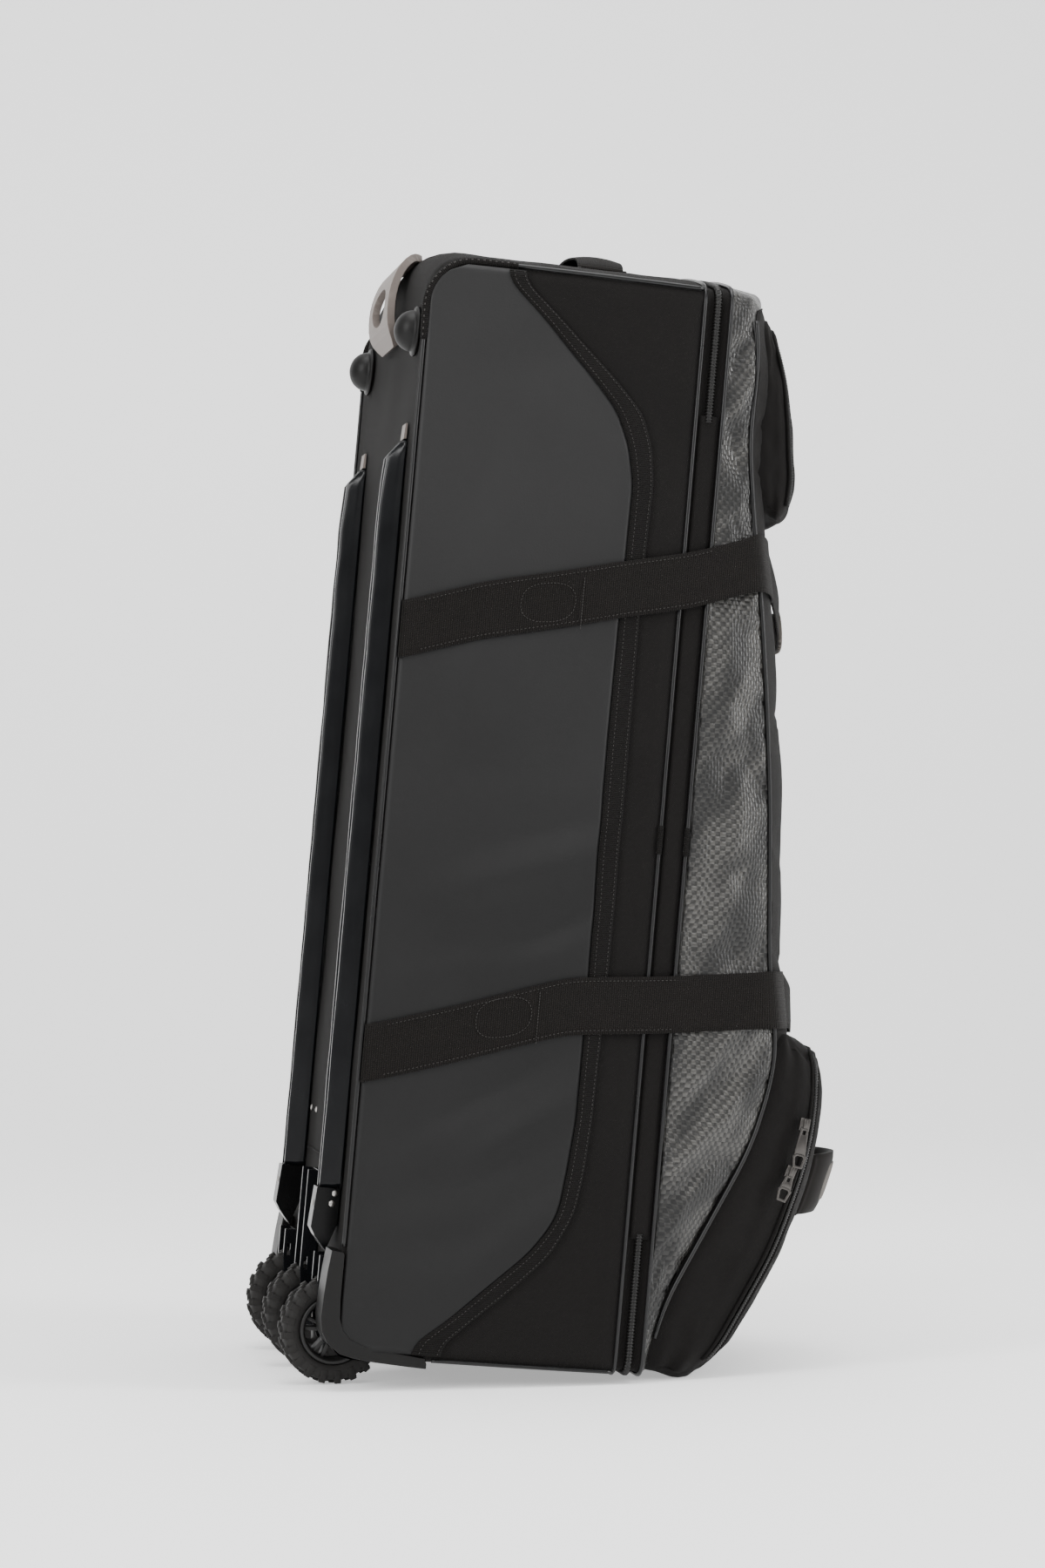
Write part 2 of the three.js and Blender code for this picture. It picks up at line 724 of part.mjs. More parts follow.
// Stations of a webbing strap round the bag: along the tub, over the gusset, round the lid's edge
function strapGrid(line, hand, off) {
  const lidReach = (z) => lidEdgeX(z) - LID_EDGE_RADIUS;
  const frontZ = line[line.length - 1].height * BAG_HEIGHT;
  const across = [0, 1];
  const heightAt = (x) => {
    const along = x / lidEdgeX(frontZ + WEBBING_WIDTH / 2);
    return lookUp(line, 'along', along, 'height') * BAG_HEIGHT;
  };
  const rows = [];
  const overPanel = BINDING_THICKNESS + GAP;
  const tubStops = [0.03, 0.2, 0.4, 0.6, 0.8].map((share) => share * TUB_DEPTH);
  tubStops.forEach((x) => {
    rows.push(across.map((w) => sidePoint(x, heightAt(x) + w * WEBBING_WIDTH, off + overPanel, hand)));
  });
  [TUB_DEPTH - 2, RIM_X + 2].forEach((x) => {
    rows.push(across.map((w) => {
      const y = sideAt(TUB_DEPTH) + off + overPanel;
      return new THREE.Vector3(x, hand * y, heightAt(x) + w * WEBBING_WIDTH);
    }));
  });
  const mid = (RIM_X + lidReach(frontZ)) / 2;
  rows.push(across.map((w) => {
    const z = heightAt(mid) + w * WEBBING_WIDTH;
    return new THREE.Vector3(mid, hand * (HALF_WIDTH + off), z);
  }));
  const lidRow = (step, extra) => across.map((w) => {
    const z = frontZ + w * WEBBING_WIDTH;
    const point = { y: hand * (HALF_WIDTH + off + extra), z, ny: hand, nz: 0 };
    return lidRingPoint(point, step, -(off + extra));
  });
  rows.push(lidRow('wall', PIPING_TOP - GAP), lidRow('turn', PIPING_TOP), lidRow('edge', PIPING_TOP - GAP));
  [0.78, 0.62].forEach((share) => {
    rows.push(across.map((w) => {
      const z = frontZ + w * WEBBING_WIDTH;
      const y = hand * HALF_WIDTH * share;
      return new THREE.Vector3(lidFrontX(y, z) + off, y, z);
    }));
  });
  rows.push(across.map((w) => {
    const z = frontZ + w * WEBBING_WIDTH;
    const y = hand * (STRAP_FRONT_END + GAP);
    return new THREE.Vector3(lidFrontX(y, z) + off, y, z);
  }));
  return rows;
}

function strap(line, hand) {
  return slab(strapGrid(line, hand, SEAT), strapGrid(line, hand, SEAT + WEBBING_THICKNESS));
}

// Webbing that leaves the lid at both ends and bows out as a handle
function carryLoop(line, sag, rise) {
  const frontZ = line[line.length - 1].height * BAG_HEIGHT;
  const stops = Array.from({ length: 11 }, (_, i) => (i / 10) * 2 - 1);
  const layer = (off) => stops.map((share) => {
    const bow = Math.cos((share * Math.PI) / 2) ** 0.8;
    const y = share * STRAP_FRONT_END;
    return [0, 0.5, 1].map((w) => {
      const narrow = 1 - 0.35 * bow;
      const z = frontZ + WEBBING_WIDTH * (0.5 + (w - 0.5) * narrow) - sag * bow;
      const base = Math.max(lidFrontX(y, z), lidFrontX(y, z + sag * bow * 0.5));
      return new THREE.Vector3(base + off + rise * bow, y, z);
    });
  });
  return slab(layer(SEAT + 0.2), layer(SEAT + 0.2 + WEBBING_THICKNESS));
}

// Piping on the seam round the side panel: up the back edge, then forward along the top
function sidePiping(hand) {
  const off = -(SEAT + GAP + PIPING_RADIUS);
  const sample = bodyOutline(0, off);
  const onHand = (p) => p.y * hand > 0;
  const atCorner = (p) => onHand(p) && Math.abs(p.ny) > 0.6 && Math.abs(p.ny) < 0.8 && p.nz > 0;
  const corner = sample.findIndex(atCorner);
  const upright = sample.map((p, j) => j).filter((j) => onHand(sample[j]) && sample[j].nz === 0);
  const backEdge = backRing(0.5, off);
  const path = upright.map((j) => backEdge[j]).sort((a, b) => a.z - b.z);
  path[0].z = GUARD_HEIGHT + 2 * PIPING_RADIUS;
  [0.5, 0.67, 0.83, 1].forEach((share) => path.push(backRing(share, off)[corner]));
  for (let i = 1; i <= SIDE_STEPS; i += 1) {
    const x = (i * TUB_DEPTH) / SIDE_STEPS;
    const p = bodyOutline(x, off)[corner];
    path.push(new THREE.Vector3(Math.min(x, TUB_DEPTH - PIPING_RADIUS), p.y, p.z));
  }
  return sweep(path, roundSection(PIPING_RADIUS, 5), new THREE.Vector3(0, 1, 0));
}

// Piping along one edge of the zip gusset, all round the bag
function gussetPiping(x) {
  const grow = PIPING_RADIUS + GAP;
  const path = bodyOutline(TUB_DEPTH, GUSSET_RECESS, grow).map((p) => new THREE.Vector3(x, p.y, p.z));
  return sweep(path, roundSection(PIPING_RADIUS, 5), new THREE.Vector3(1, 0, 0), true);
}

function mainZip() {
  const grow = ZIP_THICKNESS / 2 + GAP;
  const x = TUB_DEPTH + GUSSET_WIDTH / 2;
  const path = bodyOutline(TUB_DEPTH, GUSSET_RECESS, grow).map((p) => new THREE.Vector3(x, p.y, p.z));
  return sweep(path, flatSection(ZIP_WIDTH, ZIP_THICKNESS), new THREE.Vector3(1, 0, 0), true);
}

// Piping down the front edge of the lid's side
function lidPiping(hand) {
  const off = (GAP + PIPING_RADIUS) * LID_PIPING_SEAT;
  const shares = LID_ROWS.filter((share) => share > 0.03 && share < 0.97);
  const path = [0.035, ...shares, 0.975].map((share) => {
    const z = share * BAG_HEIGHT;
    return lidRingPoint({ y: hand * (HALF_WIDTH + off), z, ny: hand, nz: 0 }, 'turn', -off);
  });
  return sweep(path, roundSection(PIPING_RADIUS, 5), new THREE.Vector3(0, 1, 0));
}

// The zip round a pocket: up one side, over the top and down the other
function pocketZip(pocket) {
  const grow = -(ZIP_THICKNESS + SEAT);
  const ring = pocketRing(pocket, POCKET_STEPS[3], grow);
  const floor = pocket.foot + pocket.height * 0.16;
  const path = ring.filter((p) => p.z > floor);
  return sweep(path, roundSection(ZIP_THICKNESS, 4), new THREE.Vector3(1, 0, 0.2).normalize());
}

// Wheel: a tyre with a rounded tread on a spoked rim
function tyre() {
  const w = TYRE_WIDTH / 2;
  const inner = RIM_RADIUS + GAP;
  const half = [[inner, w * 0.72], [WHEEL_RADIUS - 7, w], [WHEEL_RADIUS, w * 0.55]];
  const other = half.map(([r, y]) => [r, -y]).reverse();
  const profile = [...half, ...other, half[0]].map(([r, y]) => new THREE.Vector2(r, y));
  return closedBody(new THREE.LatheGeometry(profile, WHEEL_SIDES));
}

function rim() {
  const w = TYRE_WIDTH / 2;
  const profile = [
    [AXLE_RADIUS + GAP, -w * 0.9], [HUB_RADIUS, -w * 0.9], [HUB_RADIUS + 2, -w * 0.35],
    [RIM_RADIUS - 4, -w * 0.35], [RIM_RADIUS, -w * 0.7], [RIM_RADIUS, w * 0.7], [RIM_RADIUS - 4, w * 0.35],
    [HUB_RADIUS + 2, w * 0.35], [HUB_RADIUS, w * 0.9], [AXLE_RADIUS + GAP, w * 0.9],
    [AXLE_RADIUS + GAP, -w * 0.9],
  ].map(([r, y]) => new THREE.Vector2(r, y));
  const disc = new THREE.LatheGeometry(profile, RIM_SIDES);
  const step = (2 * Math.PI) / SPOKES;
  const windows = Array.from({ length: SPOKES }, (_, i) => spokeWindow(i * step));
  return cut(disc, ...windows);
}

// The open space between two spokes
function spokeWindow(angle) {
  const [low, high] = [HUB_RADIUS + 3.5, RIM_RADIUS - 5.5];
  const half = (Math.PI / SPOKES) * 0.62;
  const points = [[low, -half * 0.5], [high, -half], [high, half], [low, half * 0.5]];
  const outlineXZ = points.map(([r, a]) => [r * Math.cos(angle + a), r * Math.sin(angle + a)]);
  return plate(outlineXZ, -8, 8);
}

// Fork that carries one wheel: two cheeks and a web across the back panel above the tyre
function fork(top) {
  const inside = TYRE_WIDTH / 2 + FORK_GAP;
  const outside = inside + FORK_PLATE;
  const slotFoot = AXLE_HEIGHT + FORK_DEPTH * 2.9;
  const slotTop = slotFoot + FORK_DEPTH * 0.8;
  const [slotBack, slotFront] = [-FORK_DEPTH * 0.78, -FORK_DEPTH * 0.57];
  const noseAt = ({ forward, up }) => [AXLE_FORWARD + forward * FORK_DEPTH, AXLE_HEIGHT + up * FORK_DEPTH];
  const cheek = FORK_NOSE.map(noseAt);
  cheek.unshift([-FORK_DEPTH, top], [-GAP, top], [-GAP, AXLE_HEIGHT + WELL_RADIUS - 3]);
  cheek.push([-FORK_DEPTH, slotFoot]);
  const webFoot = AXLE_HEIGHT + WHEEL_RADIUS + 8;
  const web = [[-FORK_WEB, top], [-GAP, top], [-GAP, webFoot], [-FORK_WEB, webFoot]];
  const cheeks = join(plate(cheek, inside, outside), plate(cheek, -outside, -inside));
  const body = join(cheeks, plate(web, -outside + 1, outside - 1));
  const bore = cylinderAlongY(AXLE_RADIUS + GAP, 2 * outside + 2, AXLE_FORWARD, 0, AXLE_HEIGHT, 10);
  const slot = [
    [slotBack, slotFoot], [slotFront, slotFoot], [slotFront, slotTop], [slotBack, slotTop],
  ];
  return cut(body, bore, plate(slot, -outside - 1, outside + 1));
}

function axle() {
  const inside = TYRE_WIDTH / 2 + FORK_GAP;
  return cylinderAlongY(AXLE_RADIUS, 2 * (inside + FORK_PLATE) + 2, AXLE_FORWARD, 0, AXLE_HEIGHT, 10);
}

// Skid rail: a moulded runner with a grooved crest and a slanted top end
function skidRail() {
  const w = RAIL_WIDTH / 2;
  const section = [
    [0, -w], [-RAIL_HEIGHT * 0.75, -w * 0.8], [-RAIL_HEIGHT, -w * 0.62], [-RAIL_HEIGHT, -w * 0.22],
    [-RAIL_HEIGHT + 2.5, -w * 0.1], [-RAIL_HEIGHT + 2.5, w * 0.1], [-RAIL_HEIGHT, w * 0.22],
    [-RAIL_HEIGHT, w * 0.62], [-RAIL_HEIGHT * 0.75, w * 0.8], [0, w],
  ];
  const steps = [
    { z: RAIL_FOOT, rise: 1 },
    { z: RAIL_FOOT + (RAIL_TOP - RAIL_FOOT) * 0.5, rise: 0.95 },
    { z: RAIL_TOP - RAIL_HEIGHT, rise: 0.82 },
    { z: RAIL_TOP, rise: 0.12 },
  ];
  const ringAt = ({ z, rise }) => section.map(([x, y]) => new THREE.Vector3(x * rise - GAP, y, z));
  return loft(steps.map(ringAt));
}

function railTip() {
  const w = RAIL_WIDTH / 2;
  const outlineXZ = [[-GAP, 0], [-3, 0], [-2, RAIL_TIP], [-GAP, RAIL_TIP]];
  const geometry = plate(outlineXZ, -w * 0.7, w * 0.7);
  geometry.translate(0, 0, RAIL_TOP + GAP);
  return geometry;
}

function endPlate() {
  const foot = RAIL_FOOT - GAP - END_PLATE_HEIGHT;
  const half = RAIL_WIDTH * 0.42;
  const at = ({ out, up }) => [-GAP - out * RAIL_HEIGHT, foot + up * END_PLATE_HEIGHT];
  return plate(END_PLATE_OUTLINE.map(at), -half, half);
}

// Domed foot on a round flange, on the back panel near the top
function domeFoot() {
  const flange = FOOT_RADIUS + 4;
  const profile = [[0, 0], [flange, 0], [flange, FOOT_FLANGE], [FOOT_RADIUS, FOOT_FLANGE]];
  for (let i = 1; i <= 3; i += 1) {
    const a = (i / 3) * (Math.PI / 2);
    profile.push([FOOT_RADIUS * Math.cos(a), FOOT_FLANGE + (FOOT_RISE - FOOT_FLANGE) * Math.sin(a)]);
  }
  profile[profile.length - 1][0] = 0;
  const geometry = new THREE.LatheGeometry(profile.map(([r, y]) => new THREE.Vector2(r, y)), 12);
  geometry.rotateZ(Math.PI / 2);
  geometry.translate(-GAP, 0, 0);
  return closedBody(geometry);
}

// Moulded haul handle: a bowed plate with round ends and an oval hand hole, at the top of the back
function haulHandle() {
  const top = BAG_HEIGHT + TOP_CROWN - BACK_TOP_RADIUS * 0.17;
  const foot = BAG_HEIGHT - HAUL_FOOT_DROP;
  const path = HAUL_PATH.map(({ out, up }) => new THREE.Vector3(-out, 0, foot + up * (top - foot)));
  path[0].x = BACK_TOP_RADIUS * 0.44;
  const smooth = new THREE.CatmullRomCurve3(path).getPoints(16);
  const band = (share) => {
    const narrowing = HAUL_CORNER * Math.abs(2 * share - 1) ** 4;
    return flatSection(HAUL_WIDTH * (1 - narrowing), HAUL_THICKNESS);
  };
  const body = sweep(smooth, band, new THREE.Vector3(0, 1, 0));
  const hole = new THREE.CylinderGeometry(1, 1, 60, 24);
  hole.rotateZ(Math.PI / 2);
  hole.scale(1, HAUL_HOLE.halfWidth, HAUL_HOLE.halfHeight);
  hole.translate(0, 0, BAG_HEIGHT - HAUL_HOLE.drop);
  return cut(body, hole, tubSolid(-GAP, TUB_DEPTH));
}

// Moulded guard round a bottom corner of the back
function cornerGuard(hand) {
  const behind = GUARD_BACK.map(({ out, up }) => [-GUARD_RISE * out, GUARD_HEIGHT * up]);
  const under = GUARD_SOLE.map(({ along, down }) => [GUARD_LENGTH * along, -GUARD_DROP * down]);
  const r = BACK_BASE_RADIUS;
  const hollow = [[r, -GAP], [r * 0.3, r * 0.1], [r * 0.05, r * 0.3], [-GAP, r]];
  const outlineXZ = [[-GAP, GUARD_HEIGHT], ...behind, ...under, [GUARD_LENGTH, -GAP], ...hollow];
  const inside = WELL_WIDTH / 2 + GAP;
  const from = hand > 0 ? inside : -inside - GUARD_WIDTH;
  return cut(plate(outlineXZ, from, from + GUARD_WIDTH), tubSolid(-GAP, TUB_DEPTH));
}

// Webbing handle that bows away from a face. `base(across)` gives a point on the face.
function bowedHandle({ base, away, span, rise, thickness, flat }) {
  const stops = Array.from({ length: 11 }, (_, i) => (i / 10) * 2 - 1);
  const layer = (off) => stops.map((share) => {
    const bow = Math.abs(share) > flat ? 0 : Math.cos((share / flat) * (Math.PI / 2)) ** 0.6;
    return [0, 0.5, 1].map((w) => base(share * (span / 2), w).addScaledVector(away, off + rise * bow));
  });
  return slab(layer(HANDLE_SEAT), layer(HANDLE_SEAT + thickness));
}

function topHandle() {
  const base = (y, w) => new THREE.Vector3(
    TOP_HANDLE_START + w * TOP_HANDLE_WIDTH,
    y,
    BAG_HEIGHT + topCrown(y),
  );
  const away = new THREE.Vector3(0, 0, 1);
  return bowedHandle({
    base, away, span: TOP_HANDLE_SPAN, rise: TOP_HANDLE_RISE, thickness: WEBBING_THICKNESS, flat: 0.8,
  });
}

function grabHandle() {
  const base = (y, w) => {
    const z = GRAB_FOOT + w * GRAB_WIDTH;
    return new THREE.Vector3(pocketX(LOWER_POCKET, y, z, 1), y, z);
  };
  const away = new THREE.Vector3(1, 0, 0.1).normalize();
  return bowedHandle({
    base, away, span: GRAB_SPAN, rise: GRAB_RISE, thickness: GRAB_THICKNESS, flat: 0.85,
  });
}

// Zip slider with its pull, lying on the side wall of a pocket
function zipPull(length) {
  const { width, thickness, height } = SLIDER;
  const slider = new THREE.BoxGeometry(width, thickness, height);
  slider.translate(0, thickness / 2, length / 2 + 3);
  const half = PULL_OUTLINE.map(({ side, up, rise }) => [side * PULL_WIDTH, up * length + rise]);
  const mirrored = half.map(([x, z]) => [-x, z]).reverse();
  return join(slider, plate([...half, ...mirrored], 0.6, 2.4));
}

const bag = new THREE.Group();
const leaning = new THREE.Group();
bag.add(leaning);

const WOVEN = { color: 0x282626, roughness: 0.9, metalness: 0 };
const COATED = { color: 0x3e3e3e, roughness: 0.45, metalness: 0 };
const CARBON = { color: 0x2c2c2a, roughness: 0.35, metalness: 0 };
const WEBBING = { color: 0x2d2824, roughness: 0.85, metalness: 0 };
const PIPING = { color: 0x1c1c1e, roughness: 0.25, metalness: 0 };
const MOULDED = { color: 0x1e2024, roughness: 0.4, metalness: 0 };
const GREY = { color: 0x968c87, roughness: 0.6, metalness: 0 };
const RUBBER = { color: 0x2d2a28, roughness: 0.85, metalness: 0 };
const METAL = { color: 0x6a6662, roughness: 0.35, metalness: 0.9 };
const DARK_METAL = { color: 0x46423f, roughness: 0.4, metalness: 0.9 };

function addPiece(name, geometry, finish, place = [0, 0, 0], turn = [0, 0, 0], parent = leaning) {
  const material = new THREE.MeshStandardMaterial(finish);
  const mesh = new THREE.Mesh(geometry, material);
  mesh.name = name;
  mesh.position.set(...place);
  mesh.rotation.set(...turn);
  parent.add(mesh);
  return mesh;
}

function addSofts() {
  addPiece('main_tub', tub(), WOVEN);
  addPiece('zip_gusset', zipGusset(), WOVEN);
  addPiece('main_zip', mainZip(), DARK_METAL);
  addPiece('lid', lid(), CARBON);
  addPiece('upper_pocket', pocketShell(UPPER_POCKET), WOVEN);
  addPiece('lower_pocket', pocketShell(LOWER_POCKET), WOVEN);
  addPiece('upper_pocket_zip', pocketZip(UPPER_POCKET), DARK_METAL);
  addPiece('lower_pocket_zip', pocketZip(LOWER_POCKET), DARK_METAL);
  addPiece('gusset_piping_rear', gussetPiping(TUB_DEPTH + GAP + PIPING_RADIUS), PIPING);
  addPiece('gusset_piping_front', gussetPiping(RIM_X - GAP - PIPING_RADIUS), PIPING);
  [-1, 1].forEach((hand) => {
    const side = hand < 0 ? 'left' : 'right';
    addPiece(`side_panel_${side}`, coatedPanel(hand), COATED);
    addPiece(`panel_binding_${side}`, panelBinding(hand), WEBBING);
    addPiece(`side_piping_${side}`, sidePiping(hand), PIPING);
    addPiece(`lid_piping_${side}`, lidPiping(hand), PIPING);
    addPiece(`upper_strap_${side}`, strap(UPPER_STRAP_LINE, hand), WEBBING);
    addPiece(`lower_strap_${side}`, strap(LOWER_STRAP_LINE, hand), WEBBING);
  });
  addPiece('upper_carry_loop', carryLoop(UPPER_STRAP_LINE, UPPER_CARRY_SAG, CARRY_RISE), WEBBING);
  addPiece('lower_carry_loop', carryLoop(LOWER_STRAP_LINE, LOWER_CARRY_SAG, CARRY_RISE), WEBBING);
  addPiece('top_handle', topHandle(), WEBBING);
  addPiece('grab_handle', grabHandle(), GREY);
}

function addBack() {
  addPiece('haul_handle', haulHandle(), GREY);
  [-1, 1].forEach((hand) => {
    const side = hand < 0 ? 'left' : 'right';
    const railY = (hand * RAIL_SPACING) / 2;
    addPiece(`skid_rail_${side}`, skidRail(), MOULDED, [0, railY, 0]);
    addPiece(`rail_tip_${side}`, railTip(), GREY, [0, railY, 0]);
    addPiece(`end_plate_${side}`, endPlate(), METAL, [0, railY, 0]);
    addPiece(`dome_foot_${side}`, domeFoot(), RUBBER, [0, (hand * FOOT_SPACING) / 2, FOOT_HEIGHT]);
    addPiece(`corner_guard_${side}`, cornerGuard(hand), MOULDED);
  });
}

function addWheels() {
  ['left', 'middle', 'right'].forEach((side, i) => {
    const y = (i - 1) * WHEEL_SPACING;
    addPiece(`fork_${side}`, fork(FORK_TOPS[i]), MOULDED, [0, y, 0]);
    addPiece(`axle_${side}`, axle(), METAL, [0, y, 0]);
    const wheel = new THREE.Group();
    wheel.position.set(AXLE_FORWARD, y, AXLE_HEIGHT);
    wheel.rotation.set(0, -LEAN, 0);
    leaning.add(wheel);
    addPiece(`tyre_${side}`, tyre(), RUBBER, [0, 0, 0], [0, 0, 0], wheel);
    addPiece(`rim_${side}`, rim(), MOULDED, [0, 0, 0], [0, 0, 0], wheel);
  });
}

// Half width of a pocket's side wall at one place, between its seam and its turn to the face
function pocketWallY(pocket, x, z) {
  const [seam, wall] = [POCKET_STEPS[1], POCKET_STEPS[2]];
  const foot = pocketX(pocket, pocket.halfWidth, z, 0);
  const rise = pocketX(pocket, pocket.halfWidth, z, 1) - foot;
  const t = ((x - foot) / rise - seam.share) / (wall.share - seam.share);
  return pocket.halfWidth - pocket.taper * THREE.MathUtils.lerp(seam.inward, wall.inward, Math.max(t, 0));
}

// Two zip pulls hang flat against the near wall of the lower pocket
function addPulls() {
  const pocket = LOWER_POCKET;
  const reach = 5;
  [['zip_pull_long', 36, 0.683], ['zip_pull_short', 22, 0.565]].forEach(([name, length, up]) => {
    const z = pocket.foot + pocket.height * up;
    const foot = pocketX(pocket, pocket.halfWidth, z, 0);
    const x = foot + (pocketX(pocket, pocket.halfWidth, z, 1) - foot) * 0.61;
    const heights = [z - length / 2, z, z + length / 2 + 9];
    const [low, high] = [x - reach, x + reach].map((at) => (
      Math.max(...heights.map((height) => pocketWallY(pocket, at, height)))
    ));
    const slope = Math.atan2(low - high, 2 * reach);
    const y = -((low + high) / 2 + SEAT);
    addPiece(name, zipPull(length), METAL, [x, y, z], [0, 0, Math.PI + slope]);
  });
}

addSofts();
addBack();
addWheels();
addPulls();

// The bag leans on its wheels; the whole stands on the floor with its middle over the origin
leaning.rotation.set(0, LEAN, 0);
bag.updateMatrixWorld(true);
const around = new THREE.Box3().setFromObject(bag, true);
leaning.position.set(-(around.min.x + around.max.x) / 2, -(around.min.y + around.max.y) / 2, -around.min.z);
bag.updateMatrixWorld(true);

export default bag;
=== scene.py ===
# %% [markdown]
# # A wheeled cricket kit bag
# A big soft bag stands on three wheels and on the foot of its front pocket, with its top leaning forward.
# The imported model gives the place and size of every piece. This lesson dresses it: cloth with folds,
# glossy piping, ribbed webbing, an embossed shiny lid, zips with teeth, knobbly tyres and a soft studio.

import math

import bmesh
import bpy
from mathutils import Matrix, Vector, noise


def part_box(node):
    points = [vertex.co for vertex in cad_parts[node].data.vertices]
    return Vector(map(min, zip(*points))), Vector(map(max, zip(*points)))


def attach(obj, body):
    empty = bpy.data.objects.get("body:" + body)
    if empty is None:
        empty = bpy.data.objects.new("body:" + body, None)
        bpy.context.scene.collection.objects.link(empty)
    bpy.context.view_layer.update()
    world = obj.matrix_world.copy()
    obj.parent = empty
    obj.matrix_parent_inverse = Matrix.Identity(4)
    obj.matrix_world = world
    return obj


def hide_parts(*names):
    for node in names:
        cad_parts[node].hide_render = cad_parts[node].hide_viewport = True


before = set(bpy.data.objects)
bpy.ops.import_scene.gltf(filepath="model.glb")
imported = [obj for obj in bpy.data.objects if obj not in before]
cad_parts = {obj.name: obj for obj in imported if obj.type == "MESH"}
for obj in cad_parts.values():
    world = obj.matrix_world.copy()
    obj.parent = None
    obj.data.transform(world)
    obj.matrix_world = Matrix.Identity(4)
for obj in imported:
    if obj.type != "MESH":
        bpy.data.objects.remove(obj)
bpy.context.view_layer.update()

# %% [markdown]
# ## The bag's own space
# The bag is easiest to shape standing straight: x forward from the back panel, y across, z up, all in
# millimetres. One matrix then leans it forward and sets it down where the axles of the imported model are.

# %% A matrix from the straight bag to the leaning one
LEAN = math.radians(5.036)
AXLE = Vector((5, 0, 17))
MM = 0.001


def middle(node):
    low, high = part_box(node)
    return (Vector(low) + Vector(high)) / 2


turn = Matrix.Rotation(LEAN, 4, "Y")
axle_now = middle("tyre_middle")
corner_now = axle_now - turn @ (AXLE * MM)
BAG = Matrix.Translation(corner_now) @ turn @ Matrix.Scale(MM, 4)
STRAIGHT = BAG.inverted()
SIDES = {"left": -1, "right": 1}
print("the bag's back corner is at", [round(v, 4) for v in corner_now])

# %% [markdown]
# ## The main sizes
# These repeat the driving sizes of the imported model, in millimetres, and each cloth piece below is worked
# out from them, so that straps lie on panels and piping lies on seams.

# %% Sizes of the bag
HEIGHT, HALF, TUB = 957, 185, 246
RIM = TUB + 25
LID_DEPTH = 100
CORNER = 14
TOP_CROWN, FRONT_CROWN, SIDE_BULGE = 26, 38, 6
BEAD = 1.9
TAPE = 50

LID_OUTLINE = [
    # share of the height, share of the lid's depth
    (0.0, 0.02), (0.062, 0.17), (0.161, 0.61), (0.215, 0.85), (0.279, 0.99), (0.312, 1.0), (0.38, 0.88),
    (0.534, 0.76), (0.629, 0.65), (0.722, 0.52), (0.77, 0.43), (0.862, 0.3), (0.949, 0.32), (1.0, 0.22),
]
PANEL_EDGE = [
    # share of the height, inner and outer edge of the binding as shares of the tub's depth
    (0.016, 0.272, 0.37), (0.04, 0.39, 0.467), (0.071, 0.516, 0.602), (0.104, 0.654, 0.728),
    (0.13, 0.728, 0.78), (0.147, 0.756, 0.809), (0.183, 0.772, 0.829), (0.233, 0.789, 0.841),
    (0.373, 0.789, 0.854), (0.578, 0.785, 0.858), (0.744, 0.793, 0.858), (0.81, 0.797, 0.866),
    (0.845, 0.768, 0.85), (0.876, 0.715, 0.805), (0.904, 0.614, 0.695), (0.952, 0.427, 0.488),
    (0.984, 0.285, 0.341),
]


def smooth_step(t):
    t = min(max(t, 0), 1)
    return t * t * (3 - 2 * t)


def mix(a, b, t):
    return a + (b - a) * t


def look_up(table, at, column=1):
    """Straight-line value of a column where the first column is at."""
    if at <= table[0][0]:
        return table[0][column]
    for low, high in zip(table, table[1:]):
        if at <= high[0]:
            return mix(low[column], high[column], (at - low[0]) / (high[0] - low[0]))
    return table[-1][column]


def look_up_soft(table, at, column=1, blur=0.02):
    """The same value with its corners rounded off."""
    shares = (-1, -0.5, 0, 0.5, 1)
    return sum(look_up(table, at + blur * k, column) for k in shares) / len(shares)


def crown(y, rise):
    return rise * max(0, 1 - (y / HALF) ** 2)


def side_at(x):
    """How far the bag's side stands from the middle."""
    past = min(max((x - TUB) / (RIM - TUB), 0), 1)
    return HALF + SIDE_BULGE * math.sin(math.pi * min(max(x, 0), RIM) / RIM) * (1 - past)


def lid_edge(z):
    return RIM + LID_DEPTH * look_up_soft(LID_OUTLINE, z / HEIGHT)


def lid_front(y, z):
    return lid_edge(z) + crown(y, FRONT_CROWN)


def panel_edge(z, column):
    """Inner edge (1) or outer edge (2) of the binding at height z."""
    return look_up_soft(PANEL_EDGE, z / HEIGHT, column, 0.008) * TUB


print("lid depth half way up:", round(lid_edge(HEIGHT / 2) - RIM, 1), "mm")

# %% [markdown]
# ## Camera
# The photograph was taken from the bag's left, a little behind it and close to the floor, with a long
# lens: the three wheels overlap and the back panel is a narrow strip. The camera's place is given from
# the point where the near wheel meets the floor.

# %% Camera
PHOTO_YAW, PHOTO_PITCH = math.radians(10.632), math.radians(1.230)
near_wheel = Vector((axle_now.x, middle("tyre_left").y, 0))
camera_data = bpy.data.cameras.new("photo_camera")
camera = bpy.data.objects.new("photo_camera", camera_data)
bpy.context.scene.collection.objects.link(camera)
bpy.context.scene.camera = camera
camera_data.lens = 86.6
camera_data.sensor_width = 36
camera_data.clip_end = 60
camera.location = near_wheel + Vector((-0.4471, -3.2870, 0.4530))
looking = Vector((
    math.sin(PHOTO_YAW) * math.cos(PHOTO_PITCH),
    math.cos(PHOTO_YAW) * math.cos(PHOTO_PITCH),
    math.sin(PHOTO_PITCH),
))
camera.rotation_mode = "QUATERNION"
camera.rotation_quaternion = looking.to_track_quat("-Z", "Y")
print("camera:", [round(v, 3) for v in camera.location])

